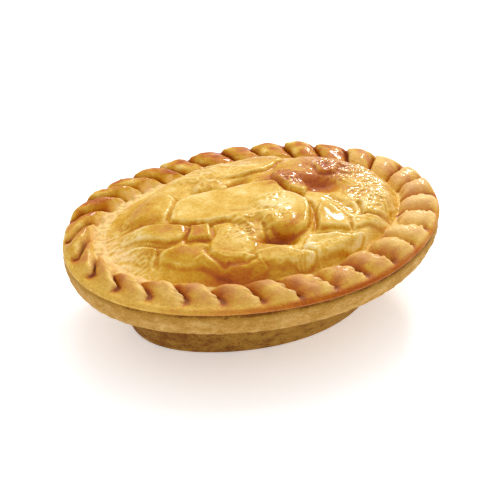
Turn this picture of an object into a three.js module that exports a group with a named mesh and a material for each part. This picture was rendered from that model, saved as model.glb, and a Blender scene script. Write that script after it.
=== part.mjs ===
// An oval chicken and mushroom pie, about 140 mm long: a pale shortcrust case, and a glazed
// pastry lid that is crimped to it all round like a rope. Millimetres, +Z up, standing on Z = 0,
// with X along the pie and the origin under its middle.
import * as THREE from "three";

// Outline of the rim at the seam, seen from above.
const HALF_LENGTH = 70;
const HALF_WIDTH = 53;
const BLUNT_END = 1.3; // the right-hand end is this much shorter than the oval
const WANDER = 0.35; // the hand-cut edge strays this far from the oval

// Heights of the lid.
const SEAM_HEIGHT = 30; // where the lid meets the case, seen from the side
const SEAM_GAP = 0.3; // between lid and case, all the way through
const LIP_HEIGHT = 0.8; // upright part of the lid's edge over the seam
const LIP_TUCK = 0.25; // how far that lip rounds in under itself
const DEEPER_TUCK = 0.35; // and how much further at the right of the front
const BAND_HEIGHT = 32; // of the rim between its crimps, near its edge
const VALLEY_HEIGHT = 31.4; // just inside the crimps
const DOME_RISE = 5.2; // of the lid's middle over that valley, before its plates
const DOME_FULLNESS = 3.2; // higher makes the dome flatter with a steeper edge
const DOME_FOOT = 0.1; // share of the dome in which its plates fade out towards the crimps
const WIDE_LEFT_FOOT = 1.8; // how many times wider still that is at the left

// Crimps: thirty, like a rope, which lean forward as they run outwards.
const CRIMPS = 30;
const CRIMP_START = 0.58; // first groove's outer end, in crimps round from the right-hand end
const CRIMP_LEAN = THREE.MathUtils.degToRad(23); // of a groove, from the straight way out
const LEFT_LEAN = THREE.MathUtils.degToRad(43); // how much more it leans at the left
const LEAN_MOST = 0.49; // how far round it leans most, in turns
const LEAN_FOCUS = 3.5; // higher keeps that extra lean closer to the left
const LEAN_START = 0.7; // where the lean begins, as a share of the groove's end
const RIM_WIDTH = 14.4; // from the seam in to the valley
const EDGE_WIDTH = 1.7; // of the rounded outer edge, below the grooves
const EDGE_ROUNDNESS = 2.4; // power of that edge's curve
const FLOOR_SHARE = 0.1; // share of a crimp that is its groove's floor
const ROLL_NEAR = { across: 0.03, rise: 1.4 }; // pulls a crimp's gentle side up
const ROLL_FAR = { across: 1.27, rise: 1.46 }; // pulls its crest forward over the next groove
const CREST_RISE = 3.2; // of a crest over the band
const OUTER_CREST = 0.9; // that rise at a crimp's outer end, and at its inner end
const INNER_CREST = 1.15;
const LOW_BACK = 0.35; // share by which the crests are lower at the back
const END_ROUNDING = 1.4; // width of a crimp's rounded outer end, against its groove's end
const PLAIN_BAND = 0.3; // share of the front's wider band that is plain, outside the crimps
const FRONT_FULLNESS = 1.6; // higher makes the crimps' outer ends thinner at the front
const INNER_ROUNDING = 0.3; // of a crimp's inner end, as a share of the rim
const CRIMP_TIP = 0.95; // share of the rim's width at which a crimp ends
const TIP_UNEVENNESS = 0.05; // how much that differs from crimp to crimp
const SHORT_LEFT = 0.24; // how much sooner it ends at the left of the back
const GROOVE_DROP = 1.7; // of a groove under the band
const GROOVE_END = 1.9; // from the edge to a groove's outer end, at the back
const GROOVE_SLOPE = 0.7; // half the length in which a groove gets that deep
const FRONT_BAND = 1.4; // more of that at the front
const LEFT_BAND = 3.4; // and still more at the left of the front
const NOTCH_DEPTH = 0.8; // how far the rim draws in beside each groove
const STRAY = 0.07; // how far a groove strays from its even place, in crimps
const UNEVENNESS = 0.16; // of the crimps' sizes

// Stretches of the rim: middle and reach, in turns from the right-hand end.
const FRONT = [0.75, 0.35];
const WIDE_BAND = [0.78, 0.36];
const WIDEST_BAND = [0.57, 0.16];
const RIGHT_FRONT = [0.85, 0.38];
const LEFT = [0.52, 0.2];
const BACK_LEFT = [0.44, 0.2];
const BACK = [0.19, 0.2];

// Flaps and lumps of the lid: height, and for each straight side in plan, taken anticlockwise,
// its first corner's x and y and the width of its slope.
const PLATES = {
  leftBackFlap: {
    rise: 4.2,
    sides: [[-48, 11, 8], [-34.5, 2.5, 2], [-24.5, 14, 2.2], [-24.5, 19, 4], [-31, 25, 6], [-41, 29, 8]],
  },
  leftRidge: {
    rise: 4.1,
    sides: [
      [-52, 3, 4], [-46, -2, 2.2], [-38, -9.5, 3], [-31.5, -9.5, 4],
      [-27, -4.5, 3], [-36, 1.5, 2.2], [-48, 7, 5],
    ],
  },
  leftFrontFlap: {
    rise: 4,
    sides: [[-57, 4, 8], [-54, -7, 6], [-46.5, -14, 2], [-41, -10.5, 2.2], [-42, -7.5, 3], [-48, -1.5, 3]],
  },
  leftFrontGround: {
    rise: 3.6,
    sides: [
      [-47, -13, 6], [-38, -24, 7], [-26, -31, 6], [-20, -32, 5],
      [-25, -20, 6], [-30, -11, 5], [-38, -9, 4],
    ],
  },
  frontFlap: {
    rise: 3.9,
    sides: [
      [-38, -19, 6], [-34, -27, 6], [-22, -36, 5], [-14, -35, 2.2], [-14.5, -29.5, 2.4], [-28, -20, 3],
    ],
  },
  middleFrontFold: {
    rise: 4,
    sides: [
      [-29, -16.5, 2], [-29, -22, 2.2], [-26.5, -26, 2.4], [-21, -29.5, 3],
      [-14, -27, 9], [-11, -16, 10], [-18, -8, 9], [-24, -12, 4],
    ],
  },
  squareChunk: { rise: 4.5, sides: [[-32.5, -12, 2.2], [-26, -16, 2], [-22.5, -8, 2.2], [-30, -5, 2.4]] },
  frontRidge: {
    rise: 4.3,
    sides: [
      [-17.5, -33, 5], [-9, -37, 5], [0, -38, 3], [4, -36, 2.2],
      [2, -33, 2.2], [-0.5, -31.5, 3.2], [-8, -28, 3.2], [-16.5, -27, 4],
    ],
  },
  rightFrontRidge: {
    rise: 4,
    sides: [
      [-1, -36, 5], [9, -38.5, 4], [22, -35, 3], [26, -31, 2.6],
      [22, -29.8, 2.4], [7, -25.8, 3], [0, -30, 4],
    ],
  },
  middleFold: {
    rise: 5.1,
    sides: [
      [-7, -17, 4], [-2, -22, 3.5], [4, -24.5, 3.5], [8, -23, 3.2],
      [13.5, -15.5, 2.6], [14.5, -8, 2.6], [10.5, 2, 8], [-6, 3, 12],
    ],
  },
  middlePlateau: {
    rise: 4.1,
    sides: [
      [-34, 2, 2.2], [-22, -7, 5], [-8, -13, 10], [12, -6, 5], [13, 2, 2.4],
      [10.5, 9, 2.2], [4.5, 10.5, 2.4], [-22, 14, 5], [-30, 12, 5],
    ],
  },
  backLeftLump: {
    rise: 4.9,
    sides: [[-19, 14, 6], [-9, 9.5, 2.4], [-5.5, 11.5, 2.2], [-5, 16, 3], [-8.5, 21.5, 6], [-15, 23, 7]],
  },
  backRidge: {
    rise: 4,
    sides: [
      [-22, 26, 9], [-4, 18.5, 4], [7, 17, 3.4], [15, 18, 5],
      [27, 25, 6], [27, 36, 6], [13, 43, 6], [-5, 42, 6],
    ],
  },
  blister: {
    rise: 4.9,
    sides: [
      [10.5, 10, 2.4], [13, 1, 2.4], [16, -5.5, 3], [20, -1, 2.4],
      [22.5, 9, 3], [20.5, 14, 4], [15, 15.5, 4],
    ],
  },
  brownedBump: {
    rise: 4.7,
    sides: [[27.5, 7, 4], [34.5, 4, 4], [41, 8, 5], [43, 15, 6], [37, 20, 6], [30.5, 16, 4]],
  },
  rightGround: {
    rise: 3.5,
    sides: [
      [14, -26, 5], [34, -29, 6], [50, -21, 6], [57, -4, 6], [56, 10, 7],
      [46, 24, 7], [30, 28, 7], [18, 22, 7], [14, 0, 6],
    ],
  },
  wrinkledFlap: {
    rise: 4.3,
    sides: [[28, -22.5, 2.2], [38, -25, 3.5], [47, -19, 6], [48, -12, 7], [40, -8, 7], [32.5, -13, 3]],
  },
  wedge: {
    rise: 4.2,
    sides: [
      [9.5, -24.5, 2.6], [20, -28, 3], [22.5, -23.5, 2.2], [21.5, -12.5, 2.4], [20, -10.5, 3], [14, -17, 3],
    ],
  },
  rightTongue: {
    rise: 4,
    sides: [
      [20, -28.5, 3], [31, -29.5, 4], [39.5, -26.5, 3], [38, -25, 2.2], [28, -22.5, 2.2], [23, -22.5, 3],
    ],
  },
  rightEdge: {
    rise: 3.9,
    sides: [[36, 2, 8], [54, -2, 6], [56, 8, 7], [46, 22, 6], [36, 26, 7], [28, 18, 8]],
  },
};

// Hollows where steam has let the lid sink: middle, half sizes and turn in plan, and depth.
const HOLLOWS = [
  { x: -4.5, y: -23, length: 6.5, width: 3.2, turn: -15, depth: 4.6 },
  { x: -1, y: 14.5, length: 6, width: 2.2, turn: 8, depth: 2.2 },
  { x: 25.5, y: 0.5, length: 7.5, width: 5, turn: -28, depth: 3.6 },
  { x: 25.5, y: -15.5, length: 2.2, width: 5.5, turn: 10, depth: 1 },
];
const PLATE_BASE = 2.9; // height of the lid outside the plates
const PLATE_LIP = 0.06; // how much a plate's rounded edge stands over its middle
const LIP_PLACE = 0.8; // where that edge is highest, in slope widths inside the plate's side
const LIP_WIDTH = 0.8; // half its width, besides half a slope
const PLATE_JOIN = 9; // higher keeps the edges between plates sharper
const FINEST_SLOPE = 3; // narrower slopes would fall between the lid's facets
const HOLLOW_SQUARENESS = 2.3; // 2 would make the hollows' outlines true ellipses
const HOLLOW_STEEPNESS = 3; // higher gives them steeper sides and flatter floors

// Case: a thick pressed flange over a wall that tapers to the foot.
const SEAM_DIP = 1.2; // inside, the seam lies this much lower than at the edge
const FILLING_RISE = 4; // and domes up again by this much to the middle
const FLANGE_BULGE = 0.4;
const FLANGE_TUCK = 2.6; // the flange's lower edge lies this far inside the seam
const FLANGE_FOOT_HEIGHT = 21.5;
const WALL_TOP_INSET = 12.8;
const WALL_TOP_HEIGHT = 19.4;
const FOOT_INSET = 21.2;
const FOOT_RADIUS = 2.4;

// Fineness of the two skins.
const CRIMP_PHASES = [0, 0.1, 0.22, 0.42, 0.63, 0.8, 0.92];
const CRIMP_INSETS = [RIM_WIDTH, 13.4, 12.2, 10.8, 9.2, 7.5, 5.8, 4.2, 2.9, EDGE_WIDTH, 0.6, 0];
const DOME_RINGS = 25;
const DOME_COLUMNS = 196; // round the dome's edge, and fewer towards the middle
const LIP_RINGS = 2;
const CASE_COLUMNS = 76;

const { clamp, degToRad, euclideanModulo, lerp, smoothstep } = THREE.MathUtils;

// A number from -1 to 1 that is always the same for one crimp and one purpose.
function uneven(crimp, purpose) {
  const wave = Math.sin((crimp + 1) * 12.9898 + purpose * 78.233) * 43758.5453;
  return 2 * (wave - Math.floor(wave)) - 1;
}

// The oval is measured by its length, so that the crimps come evenly round it.
const OVAL = new THREE.EllipseCurve(0, 0, HALF_LENGTH, HALF_WIDTH, 0, 2 * Math.PI);
OVAL.arcLengthDivisions = 720;
const PITCH = OVAL.getLength() / CRIMPS;

// The point `inset` inside the seam's outer edge, `turn` of the way round.
function outlinePoint(turn, inset) {
  const share = OVAL.getUtoTmapping(euclideanModulo(turn, 1));
  const angle = 2 * Math.PI * share;
  const outwards = new THREE.Vector2(Math.cos(angle) / HALF_LENGTH, Math.sin(angle) / HALF_WIDTH).normalize();
  const blunt = BLUNT_END * Math.max(Math.cos(angle), 0) ** 4;
  const wander = WANDER * (Math.sin(3 * angle + 1) + Math.sin(5 * angle + 2.4));
  return OVAL.getPoint(share).addScaledVector(outwards, -inset - blunt + wander);
}

// A rounded end: rises from 0 at 0 along a quarter circle to 1 at 1.
const arch = (share) => Math.sqrt(1 - (1 - clamp(share, 0, 1)) ** 2);

// How far a place round the rim is in a stretch: 1 at its middle, 0 from its reach on.
function facing(turn, [middle, reach]) {
  const away = Math.abs(euclideanModulo(turn - middle + 0.5, 1) - 0.5);
  return 1 - smoothstep(away, 0.35 * reach, reach);
}

// Height of one plate at a plan point.
function plateHeight({ rise, sides }, x, y) {
  let share = 1;
  let edge = 0;
  sides.forEach(([ax, ay, width], side) => {
    const [bx, by] = sides[(side + 1) % sides.length];
    const slope = Math.max(width, FINEST_SLOPE);
    const inside = ((bx - ax) * (y - ay) - (by - ay) * (x - ax)) / Math.hypot(bx - ax, by - ay);
    share *= smoothstep(inside, -0.5 * slope, 0.5 * slope);
    edge = Math.max(edge, Math.exp(-(((inside - LIP_PLACE * slope) / (0.5 * slope + LIP_WIDTH)) ** 2)));
  });
  return rise * share * (1 + PLATE_LIP * edge);
}

// Depth of one hollow at a plan point.
function hollowDepth(hollow, x, y) {
  const turn = degToRad(hollow.turn);
  const along = (x - hollow.x) * Math.cos(turn) + (y - hollow.y) * Math.sin(turn);
  const across = (y - hollow.y) * Math.cos(turn) - (x - hollow.x) * Math.sin(turn);
  const shares = [along / hollow.length, across / hollow.width];
  const sum = shares.reduce((total, share) => total + Math.abs(share) ** HOLLOW_SQUARENESS, 0);
  return hollow.depth * Math.exp(-(sum ** (HOLLOW_STEEPNESS / HOLLOW_SQUARENESS)));
}

// What the plates and hollows add to the lid's height at a plan point.
function relief(x, y) {
  const heights = [PLATE_BASE, ...Object.values(PLATES).map((plate) => plateHeight(plate, x, y))];
  const joined = heights.reduce((total, height) => total + height ** PLATE_JOIN, 0) ** (1 / PLATE_JOIN);
  return HOLLOWS.reduce((height, hollow) => height - hollowDepth(hollow, x, y), joined);
}

// How much further inside the edge the grooves end at the front.
const widerBand = (turn) => FRONT_BAND * facing(turn, WIDE_BAND) + LEFT_BAND * facing(turn, WIDEST_BAND);

// How far round a groove has moved, in crimps, by the time it is `inset` inside the seam.
function lean(turn, inset) {
  const left = (0.5 + 0.5 * Math.cos(2 * Math.PI * (turn - LEAN_MOST))) ** LEAN_FOCUS;
  const past = Math.max(inset - LEAN_START * (GROOVE_END + widerBand(turn)), 0);
  return (-Math.tan(CRIMP_LEAN + LEFT_LEAN * left) * past) / PITCH;
}

// Place and height across a crimp: from its groove over its crest down to the next groove.
function crimpSection(phase) {
  if (phase < FLOOR_SHARE) return { place: phase, rise: 0 };
  const past = (phase - FLOOR_SHARE) / (1 - FLOOR_SHARE);
  const nearPull = 3 * (1 - past) ** 2 * past;
  const farPull = 3 * (1 - past) * past ** 2;
  const across = nearPull * ROLL_NEAR.across + farPull * ROLL_FAR.across + past ** 3;
  const rise = nearPull * ROLL_NEAR.rise + farPull * ROLL_FAR.rise;
  return { place: lerp(FLOOR_SHARE, 1, across), rise };
}

// How fully a crimp stands, from 0 at its rounded ends to 1 along its middle.
function crimpSwell(crimp, turn, inset, end) {
  const plain = PLAIN_BAND * widerBand(turn);
  const outer = arch((inset - plain) / (END_ROUNDING * end - plain));
  const tip = CRIMP_TIP - SHORT_LEFT * facing(turn, BACK_LEFT) + TIP_UNEVENNESS * uneven(crimp, 3);
  const inner = arch((tip - rimShare(inset)) / INNER_ROUNDING);
  return outer ** (1 + FRONT_FULLNESS * facing(turn, FRONT)) * inner;
}

// How far across the rim a place is: 0 at its outer edge, 1 at the valley.
const rimShare = (inset) => clamp((inset - EDGE_WIDTH) / (RIM_WIDTH - EDGE_WIDTH), 0, 1);

// A point on top of the crimped rim, `round` crimps on from the first groove.
function crimpPoint(round, inset) {
  const crimp = Math.floor(round);
  const phase = round - crimp;
  const turn = (CRIMP_START + round) / CRIMPS;
  const across = rimShare(inset);
  const end = (GROOVE_END + widerBand(turn)) * (1 + UNEVENNESS * uneven(crimp, 1));
  const swell = crimpSwell(crimp, turn, inset, end);
  const { place, rise } = crimpSection(phase);
  const low = Math.max(1 - rise, 0);
  const size = (1 + UNEVENNESS * uneven(crimp, 2)) * (1 - LOW_BACK * facing(turn, BACK));
  const crest = CREST_RISE * size * swell * lerp(OUTER_CREST, INNER_CREST, across);
  const deepening = smoothstep(inset, end - GROOVE_SLOPE, end + GROOVE_SLOPE);
  const groove = GROOVE_DROP * deepening * (1 - smoothstep(across, 0.5, 1));
  const notch = NOTCH_DEPTH * low * Math.sin(Math.PI * clamp(inset / (2 * end), 0, 1));
  const stray = STRAY * lerp(uneven(crimp, 7), uneven((crimp + 1) % CRIMPS, 7), phase);
  const ahead = (place + stray - phase) * swell;
  const plan = outlinePoint(turn + (lean(turn, inset) + ahead) / CRIMPS, inset + notch);
  const level = lerp(BAND_HEIGHT, VALLEY_HEIGHT, smoothstep(across, 0.4, 1)) - edgeFall(inset);
  return new THREE.Vector3(plan.x, plan.y, level + crest * rise - groove * low);
}

// How far the rounded outer edge lies under the band, `inset` inside the seam.
function edgeFall(inset) {
  const rounding = (1 - Math.min(inset / EDGE_WIDTH, 1)) ** EDGE_ROUNDNESS;
  return (BAND_HEIGHT - SEAM_HEIGHT - LIP_HEIGHT) * (1 - (1 - rounding) ** (1 / EDGE_ROUNDNESS));
}

// A point of the lid inside the crimps, `out` of the way from its middle to them.
function domePoint(round, out) {
  const { x, y, z } = crimpPoint(round, RIM_WIDTH);
  const foot = DOME_FOOT * (1 + WIDE_LEFT_FOOT * facing((CRIMP_START + round) / CRIMPS, LEFT));
  const rise = DOME_RISE * (1 - out ** DOME_FULLNESS);
  const plates = relief(x * out, y * out) * (1 - smoothstep(out, 1 - foot, 1));
  return new THREE.Vector3(x * out, y * out, z + rise + plates);
}

// A point of the lid's lip: upright from 0, then rounded under to the seam at 1.
function lipPoint(round, down) {
  const angle = (Math.PI / 2) * down;
  const turn = (CRIMP_START + round) / CRIMPS;
  const tuck = LIP_TUCK + DEEPER_TUCK * facing(turn, RIGHT_FRONT);
  const plan = outlinePoint(turn, tuck * (1 - Math.cos(angle)));
  const drop = (LIP_HEIGHT - SEAM_GAP / 2) * Math.sin(angle);
  return new THREE.Vector3(plan.x, plan.y, SEAM_HEIGHT + LIP_HEIGHT - drop);
}

// A point of the face between lid and case, on the lid's side of the gap or on the case's.
function seamPoint(turn, out, side) {
  const rim = outlinePoint(turn, out > 0.9 ? RIM_WIDTH * (1 - out) * 2 : RIM_WIDTH * 0.2);
  const spread = Math.min(out / 0.9, 1);
  const dip = SEAM_DIP * smoothstep(1 - out, 0, 0.1);
  const rise = FILLING_RISE * (1 - spread ** 2);
  return new THREE.Vector3(rim.x * spread, rim.y * spread, SEAM_HEIGHT - dip + rise + (side * SEAM_GAP) / 2);
}

// The case's outside from the seam down to the foot, as insets and heights.
function caseProfile() {
  const top = SEAM_HEIGHT - SEAM_GAP / 2;
  const side = new THREE.CubicBezierCurve(
    new THREE.Vector2(0.2, top),
    new THREE.Vector2(-FLANGE_BULGE, lerp(top, FLANGE_FOOT_HEIGHT, 0.3)),
    new THREE.Vector2(0.4, lerp(top, FLANGE_FOOT_HEIGHT, 0.85)),
    new THREE.Vector2(FLANGE_TUCK, FLANGE_FOOT_HEIGHT),
  );
  const under = new THREE.CubicBezierCurve(
    new THREE.Vector2(FLANGE_TUCK, FLANGE_FOOT_HEIGHT),
    new THREE.Vector2(FLANGE_TUCK + 2.5, FLANGE_FOOT_HEIGHT - 0.7),
    new THREE.Vector2(WALL_TOP_INSET - 1.4, WALL_TOP_HEIGHT + 2),
    new THREE.Vector2(WALL_TOP_INSET, WALL_TOP_HEIGHT),
  );
  const foot = new THREE.QuadraticBezierCurve(
    new THREE.Vector2(FOOT_INSET - FOOT_RADIUS * 0.4, FOOT_RADIUS),
    new THREE.Vector2(FOOT_INSET, 0),
    new THREE.Vector2(FOOT_INSET + FOOT_RADIUS, 0),
  );
  return [...side.getPoints(5), ...under.getPoints(5).slice(1), ...foot.getPoints(3)];
}

// One closed skin over rings of points, each ring given as its turns, from 0 to 1, and a way to
// place them. Neighbouring rings may have different numbers of points, and an end ring one.
function skin(rings) {
  const points = [];
  const faces = [];
  let before = null;
  for (const { turns, place } of rings) {
    const ring = { turns, first: points.length };
    points.push(...turns.map(place));
    if (before) faces.push(...stitch(before, ring));
    before = ring;
  }
  const geometry = new THREE.BufferGeometry().setFromPoints(points);
  geometry.setIndex(faces);
  geometry.computeVertexNormals();
  return geometry;
}

// Triangles between two rings, walking round both and stepping on the one that is behind.
function stitch(upper, lower) {
  const faces = [];
  const count = (ring) => ring.turns.length;
  const corner = (ring, step) => ring.first + (step % count(ring));
  const next = (ring, step) => {
    if (count(ring) === 1 || step === count(ring)) return Infinity;
    return ring.turns[step + 1] ?? 1;
  };
  for (let up = 0, down = 0; next(upper, up) < Infinity || next(lower, down) < Infinity; ) {
    const stepDown = next(lower, down) <= next(upper, up);
    const ahead = stepDown ? corner(lower, down + 1) : corner(upper, up + 1);
    faces.push(corner(upper, up), corner(lower, down), ahead);
    if (stepDown) down++;
    else up++;
  }
  return faces;
}

const evenTurns = (count) => Array.from({ length: count }, (_, step) => step / count);

function lidGeometry() {
  const crimpTurns = evenTurns(CRIMPS).flatMap((turn) => CRIMP_PHASES.map((phase) => turn + phase / CRIMPS));
  const rings = [];
  for (let ring = 0; ring < DOME_RINGS; ring++) {
    const out = ring / DOME_RINGS;
    const turns = evenTurns(Math.max(Math.round(DOME_COLUMNS * out), 1));
    rings.push({ turns, place: (turn) => domePoint(turn * CRIMPS, out) });
  }
  for (const inset of CRIMP_INSETS) {
    rings.push({ turns: crimpTurns, place: (turn) => crimpPoint(turn * CRIMPS, inset) });
  }
  for (let ring = 1; ring <= LIP_RINGS; ring++) {
    rings.push({ turns: crimpTurns, place: (turn) => lipPoint(turn * CRIMPS, ring / LIP_RINGS) });
  }
  return skin([...rings, ...seamRings(1)]);
}

// The seam's rings from the outer edge inwards, for the lid's side or, turned over, the case's.
function seamRings(side) {
  const start = side > 0 ? CRIMP_START / CRIMPS : 0;
  return [0.97, 0.9, 0.6, 0.3, 0].map((out) => ({
    turns: evenTurns(out ? Math.round(CASE_COLUMNS * Math.max(out, 0.5)) : 1),
    place: (turn) => seamPoint(turn + start, out, side),
  }));
}

function caseGeometry() {
  const turns = evenTurns(CASE_COLUMNS);
  const sides = caseProfile().map(({ x: inset, y: height }) => ({
    turns,
    place: (turn) => {
      const plan = outlinePoint(turn, inset);
      return new THREE.Vector3(plan.x, plan.y, height);
    },
  }));
  const middle = { turns: [0], place: () => new THREE.Vector3(0, 0, 0) };
  return skin([...seamRings(-1).reverse(), ...sides, middle]);
}

function pastry(name, geometry, colour, roughness) {
  const material = new THREE.MeshStandardMaterial({ color: colour, roughness, metalness: 0 });
  const mesh = new THREE.Mesh(geometry, material);
  mesh.name = name;
  return mesh;
}

const pie = new THREE.Group();
pie.name = "chicken_and_mushroom_pie";
pie.add(pastry("pastry_lid", lidGeometry(), 0xd9a040, 0.35));
pie.add(pastry("pastry_case", caseGeometry(), 0xcfae72, 0.8));

// The uneven outline is centred over the origin as a whole.
const middle = new THREE.Box3().setFromObject(pie).getCenter(new THREE.Vector3());
for (const mesh of pie.children) mesh.geometry.translate(-middle.x, -middle.y, 0);

export default pie;
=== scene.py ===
"""Dresses the chicken and mushroom pie: a crimped, egg-glazed lid on a pale pressed pastry case.

Lengths are in millimetres while a skin is being shaped, and in metres once it is a Blender mesh. How far
round the rim a place lies is given in turns, anticlockwise from the right-hand end.
"""

from __future__ import annotations

import logging
import math
from dataclasses import dataclass
from enum import Enum, IntEnum

import bpy
import numpy as np
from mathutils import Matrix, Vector

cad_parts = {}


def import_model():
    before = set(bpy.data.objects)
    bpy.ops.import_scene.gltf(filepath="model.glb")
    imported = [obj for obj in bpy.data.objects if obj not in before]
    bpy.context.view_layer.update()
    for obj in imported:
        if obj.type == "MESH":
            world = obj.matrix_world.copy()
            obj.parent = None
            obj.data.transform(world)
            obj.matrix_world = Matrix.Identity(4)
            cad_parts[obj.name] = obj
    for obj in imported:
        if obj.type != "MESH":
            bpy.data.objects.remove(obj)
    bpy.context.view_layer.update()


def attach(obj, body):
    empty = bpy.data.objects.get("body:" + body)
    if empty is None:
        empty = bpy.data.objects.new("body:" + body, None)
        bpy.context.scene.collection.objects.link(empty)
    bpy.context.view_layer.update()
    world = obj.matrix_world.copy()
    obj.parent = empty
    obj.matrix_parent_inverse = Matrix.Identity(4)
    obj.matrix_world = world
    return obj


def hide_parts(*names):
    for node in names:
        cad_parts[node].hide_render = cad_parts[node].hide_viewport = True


log = logging.getLogger("pie")

MM = 0.001
Array = np.ndarray

# the scattering of numbers into chance values
NUMBER_STEP, PURPOSE_STEP, SCATTER = 12.9898, 78.233, 43758.5453
AXIS_PRIMES = (73856093, 19349663, 83492791)
SEED_PRIME, MIX_PRIME = 2654435761, 1274126177
LOW_31_BITS, LOW_16_BITS, HALF_OF_16_BITS = 0x7FFFFFFF, 0xFFFF, 32767.5


def smooth(value: Array | float, low: float, high: float) -> Array:
    """A soft step: 0 below low, 1 above high."""
    share = np.clip((np.asarray(value, dtype=float) - low) / (high - low), 0.0, 1.0)
    return share * share * (3 - 2 * share)


def span(value: Array | float, start: float, whole: float, fading: float, end: float) -> Array:
    """A soft span: rises to 1 from start to whole, and falls to 0 from fading to end."""
    return smooth(value, start, whole) * (1 - smooth(value, fading, end))


def arch(share: Array | float) -> Array:
    """A rounded end: rises from 0 at 0 along a quarter circle to 1 at 1."""
    return np.sqrt(1 - (1 - np.clip(share, 0.0, 1.0)) ** 2)


class Purpose(IntEnum):
    """What a crimp's chance difference is for."""

    GROOVE_END = 1
    SIZE = 2
    TIP = 3
    BAKE = 5
    STRAY = 7


def uneven(number: Array, purpose: Purpose) -> Array:
    """Numbers from -1 to 1, always the same for one crimp and one purpose."""
    wave = np.sin((number + 1) * NUMBER_STEP + purpose * PURPOSE_STEP) * SCATTER
    return 2 * (wave - np.floor(wave)) - 1


@dataclass(frozen=True)
class Mottle:
    """Smooth random relief in space, always the same for one width and seed.

    Attributes:
        strength: Its greatest value, about.
        width: Width of one hump, in the places' own unit.
        seed: Another number gives another relief.
    """

    strength: float
    width: float
    seed: int

    def on(self, x: Array, y: Array) -> Array:
        """Its values at plan places."""
        return self.at(x, y, 0 * x)

    def at(self, x: Array, y: Array, z: Array) -> Array:
        """Its values at places in space.

        Args:
            x: Places along X.
            y: Places along Y.
            z: Places along Z.

        Returns:
            One value for each place.
        """
        cells = [np.floor(axis / self.width).astype(np.int64) for axis in (x, y, z)]
        within = [axis / self.width - cell for axis, cell in zip((x, y, z), cells)]
        eased = [share**3 * (share * (share * 6 - 15) + 10) for share in within]
        total = np.zeros(np.shape(x))
        for corner in range(8):
            steps = [(corner >> axis) & 1 for axis in range(3)]
            key = sum((cell + step) * prime for cell, step, prime in zip(cells, steps, AXIS_PRIMES))
            key = (key + self.seed * SEED_PRIME) & LOW_31_BITS
            key = (key ^ (key >> 13)) * MIX_PRIME & LOW_31_BITS
            value = ((key ^ (key >> 16)) & LOW_16_BITS) / HALF_OF_16_BITS - 1
            weight = np.ones(np.shape(x))
            for share, step in zip(eased, steps):
                weight = weight * (share if step else 1 - share)
            total += weight * value
        return self.strength * total


@dataclass(frozen=True)
class Stretch:
    """A soft stretch of the rim.

    Attributes:
        middle: Its middle, in turns.
        reach: How far from its middle it ends, in turns.
        whole: Share of its reach in which it is whole.
    """

    middle: float
    reach: float
    whole: float = 0.35

    def share(self, turn: Array) -> Array:
        """How much each place lies in it: 1 at its middle, 0 from its reach on."""
        away = np.abs(np.mod(turn - self.middle + 0.5, 1.0) - 0.5)
        return 1 - smooth(away, self.whole * self.reach, self.reach)


FRONT = Stretch(0.75, 0.35)
RIGHT = Stretch(0.96, 0.17)
BACK = Stretch(0.19, 0.2)
BACK_LEFT = Stretch(0.44, 0.2)
LEFT = Stretch(0.52, 0.2)
BARE_LEFT = Stretch(0.42, 0.34)
WIDE_BAND = Stretch(0.78, 0.36)
WIDEST_BAND = Stretch(0.57, 0.16)
OPEN_SEAM = Stretch(0.85, 0.38)
# Where along the rim the seam line carries browning and painted shade.
SEAM_BROWN_AND_SHADE = Stretch(0.84, 0.26)
LIP_BROWN_AND_SHADE = Stretch(0.82, 0.26)
FLANGE_BROWN_AND_SHADE = Stretch(0.88, 0.5)
LIGHT_WALL = Stretch(0.84, 0.14)


@dataclass
class Ring:
    """One row of points round a skin.

    Attributes:
        turns: How far round each point is, from 0 to 1.
        points: The points, one row each.
        marks: Values for each point that the finishes read, by name.
    """

    turns: Array
    points: Array
    marks: dict[str, Array]


class Skin:
    """A closed surface made of rings from its top to its bottom."""

    def __init__(self, name: str) -> None:
        """Starts an empty skin of that name."""
        self.name = name
        self.rings: list[Ring] = []

    def add(self, turns: Array, points: Array, **marks: Array | float) -> None:
        """Adds the next ring down, or further out; a mark is one value for each point or one for all."""
        full = {name: np.broadcast_to(value, turns.shape).astype(float) for name, value in marks.items()}
        self.rings.append(Ring(turns, points, full))

    def object(self) -> bpy.types.Object:
        """Joins the rings into one smooth-shaded mesh object.

        Returns:
            The new object, linked to the scene.
        """
        points = np.concatenate([ring.points for ring in self.rings]) * MM
        faces: list[tuple[int, ...]] = []
        first = 0
        for upper, lower in zip(self.rings, self.rings[1:]):
            faces += stitch(upper.turns, lower.turns, first, first + len(upper.turns))
            first += len(upper.turns)
        mesh = bpy.data.meshes.new(self.name)
        mesh.from_pydata(points.tolist(), [], faces)
        mesh.polygons.foreach_set("use_smooth", [True] * len(faces))
        for name in sorted({name for ring in self.rings for name in ring.marks}):
            values = [ring.marks.get(name, np.zeros(ring.turns.shape)) for ring in self.rings]
            mesh.attributes.new(name, "FLOAT", "POINT").data.foreach_set("value", np.concatenate(values))
        mesh.update()
        piece = bpy.data.objects.new(self.name, mesh)
        bpy.context.collection.objects.link(piece)
        return piece


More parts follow.
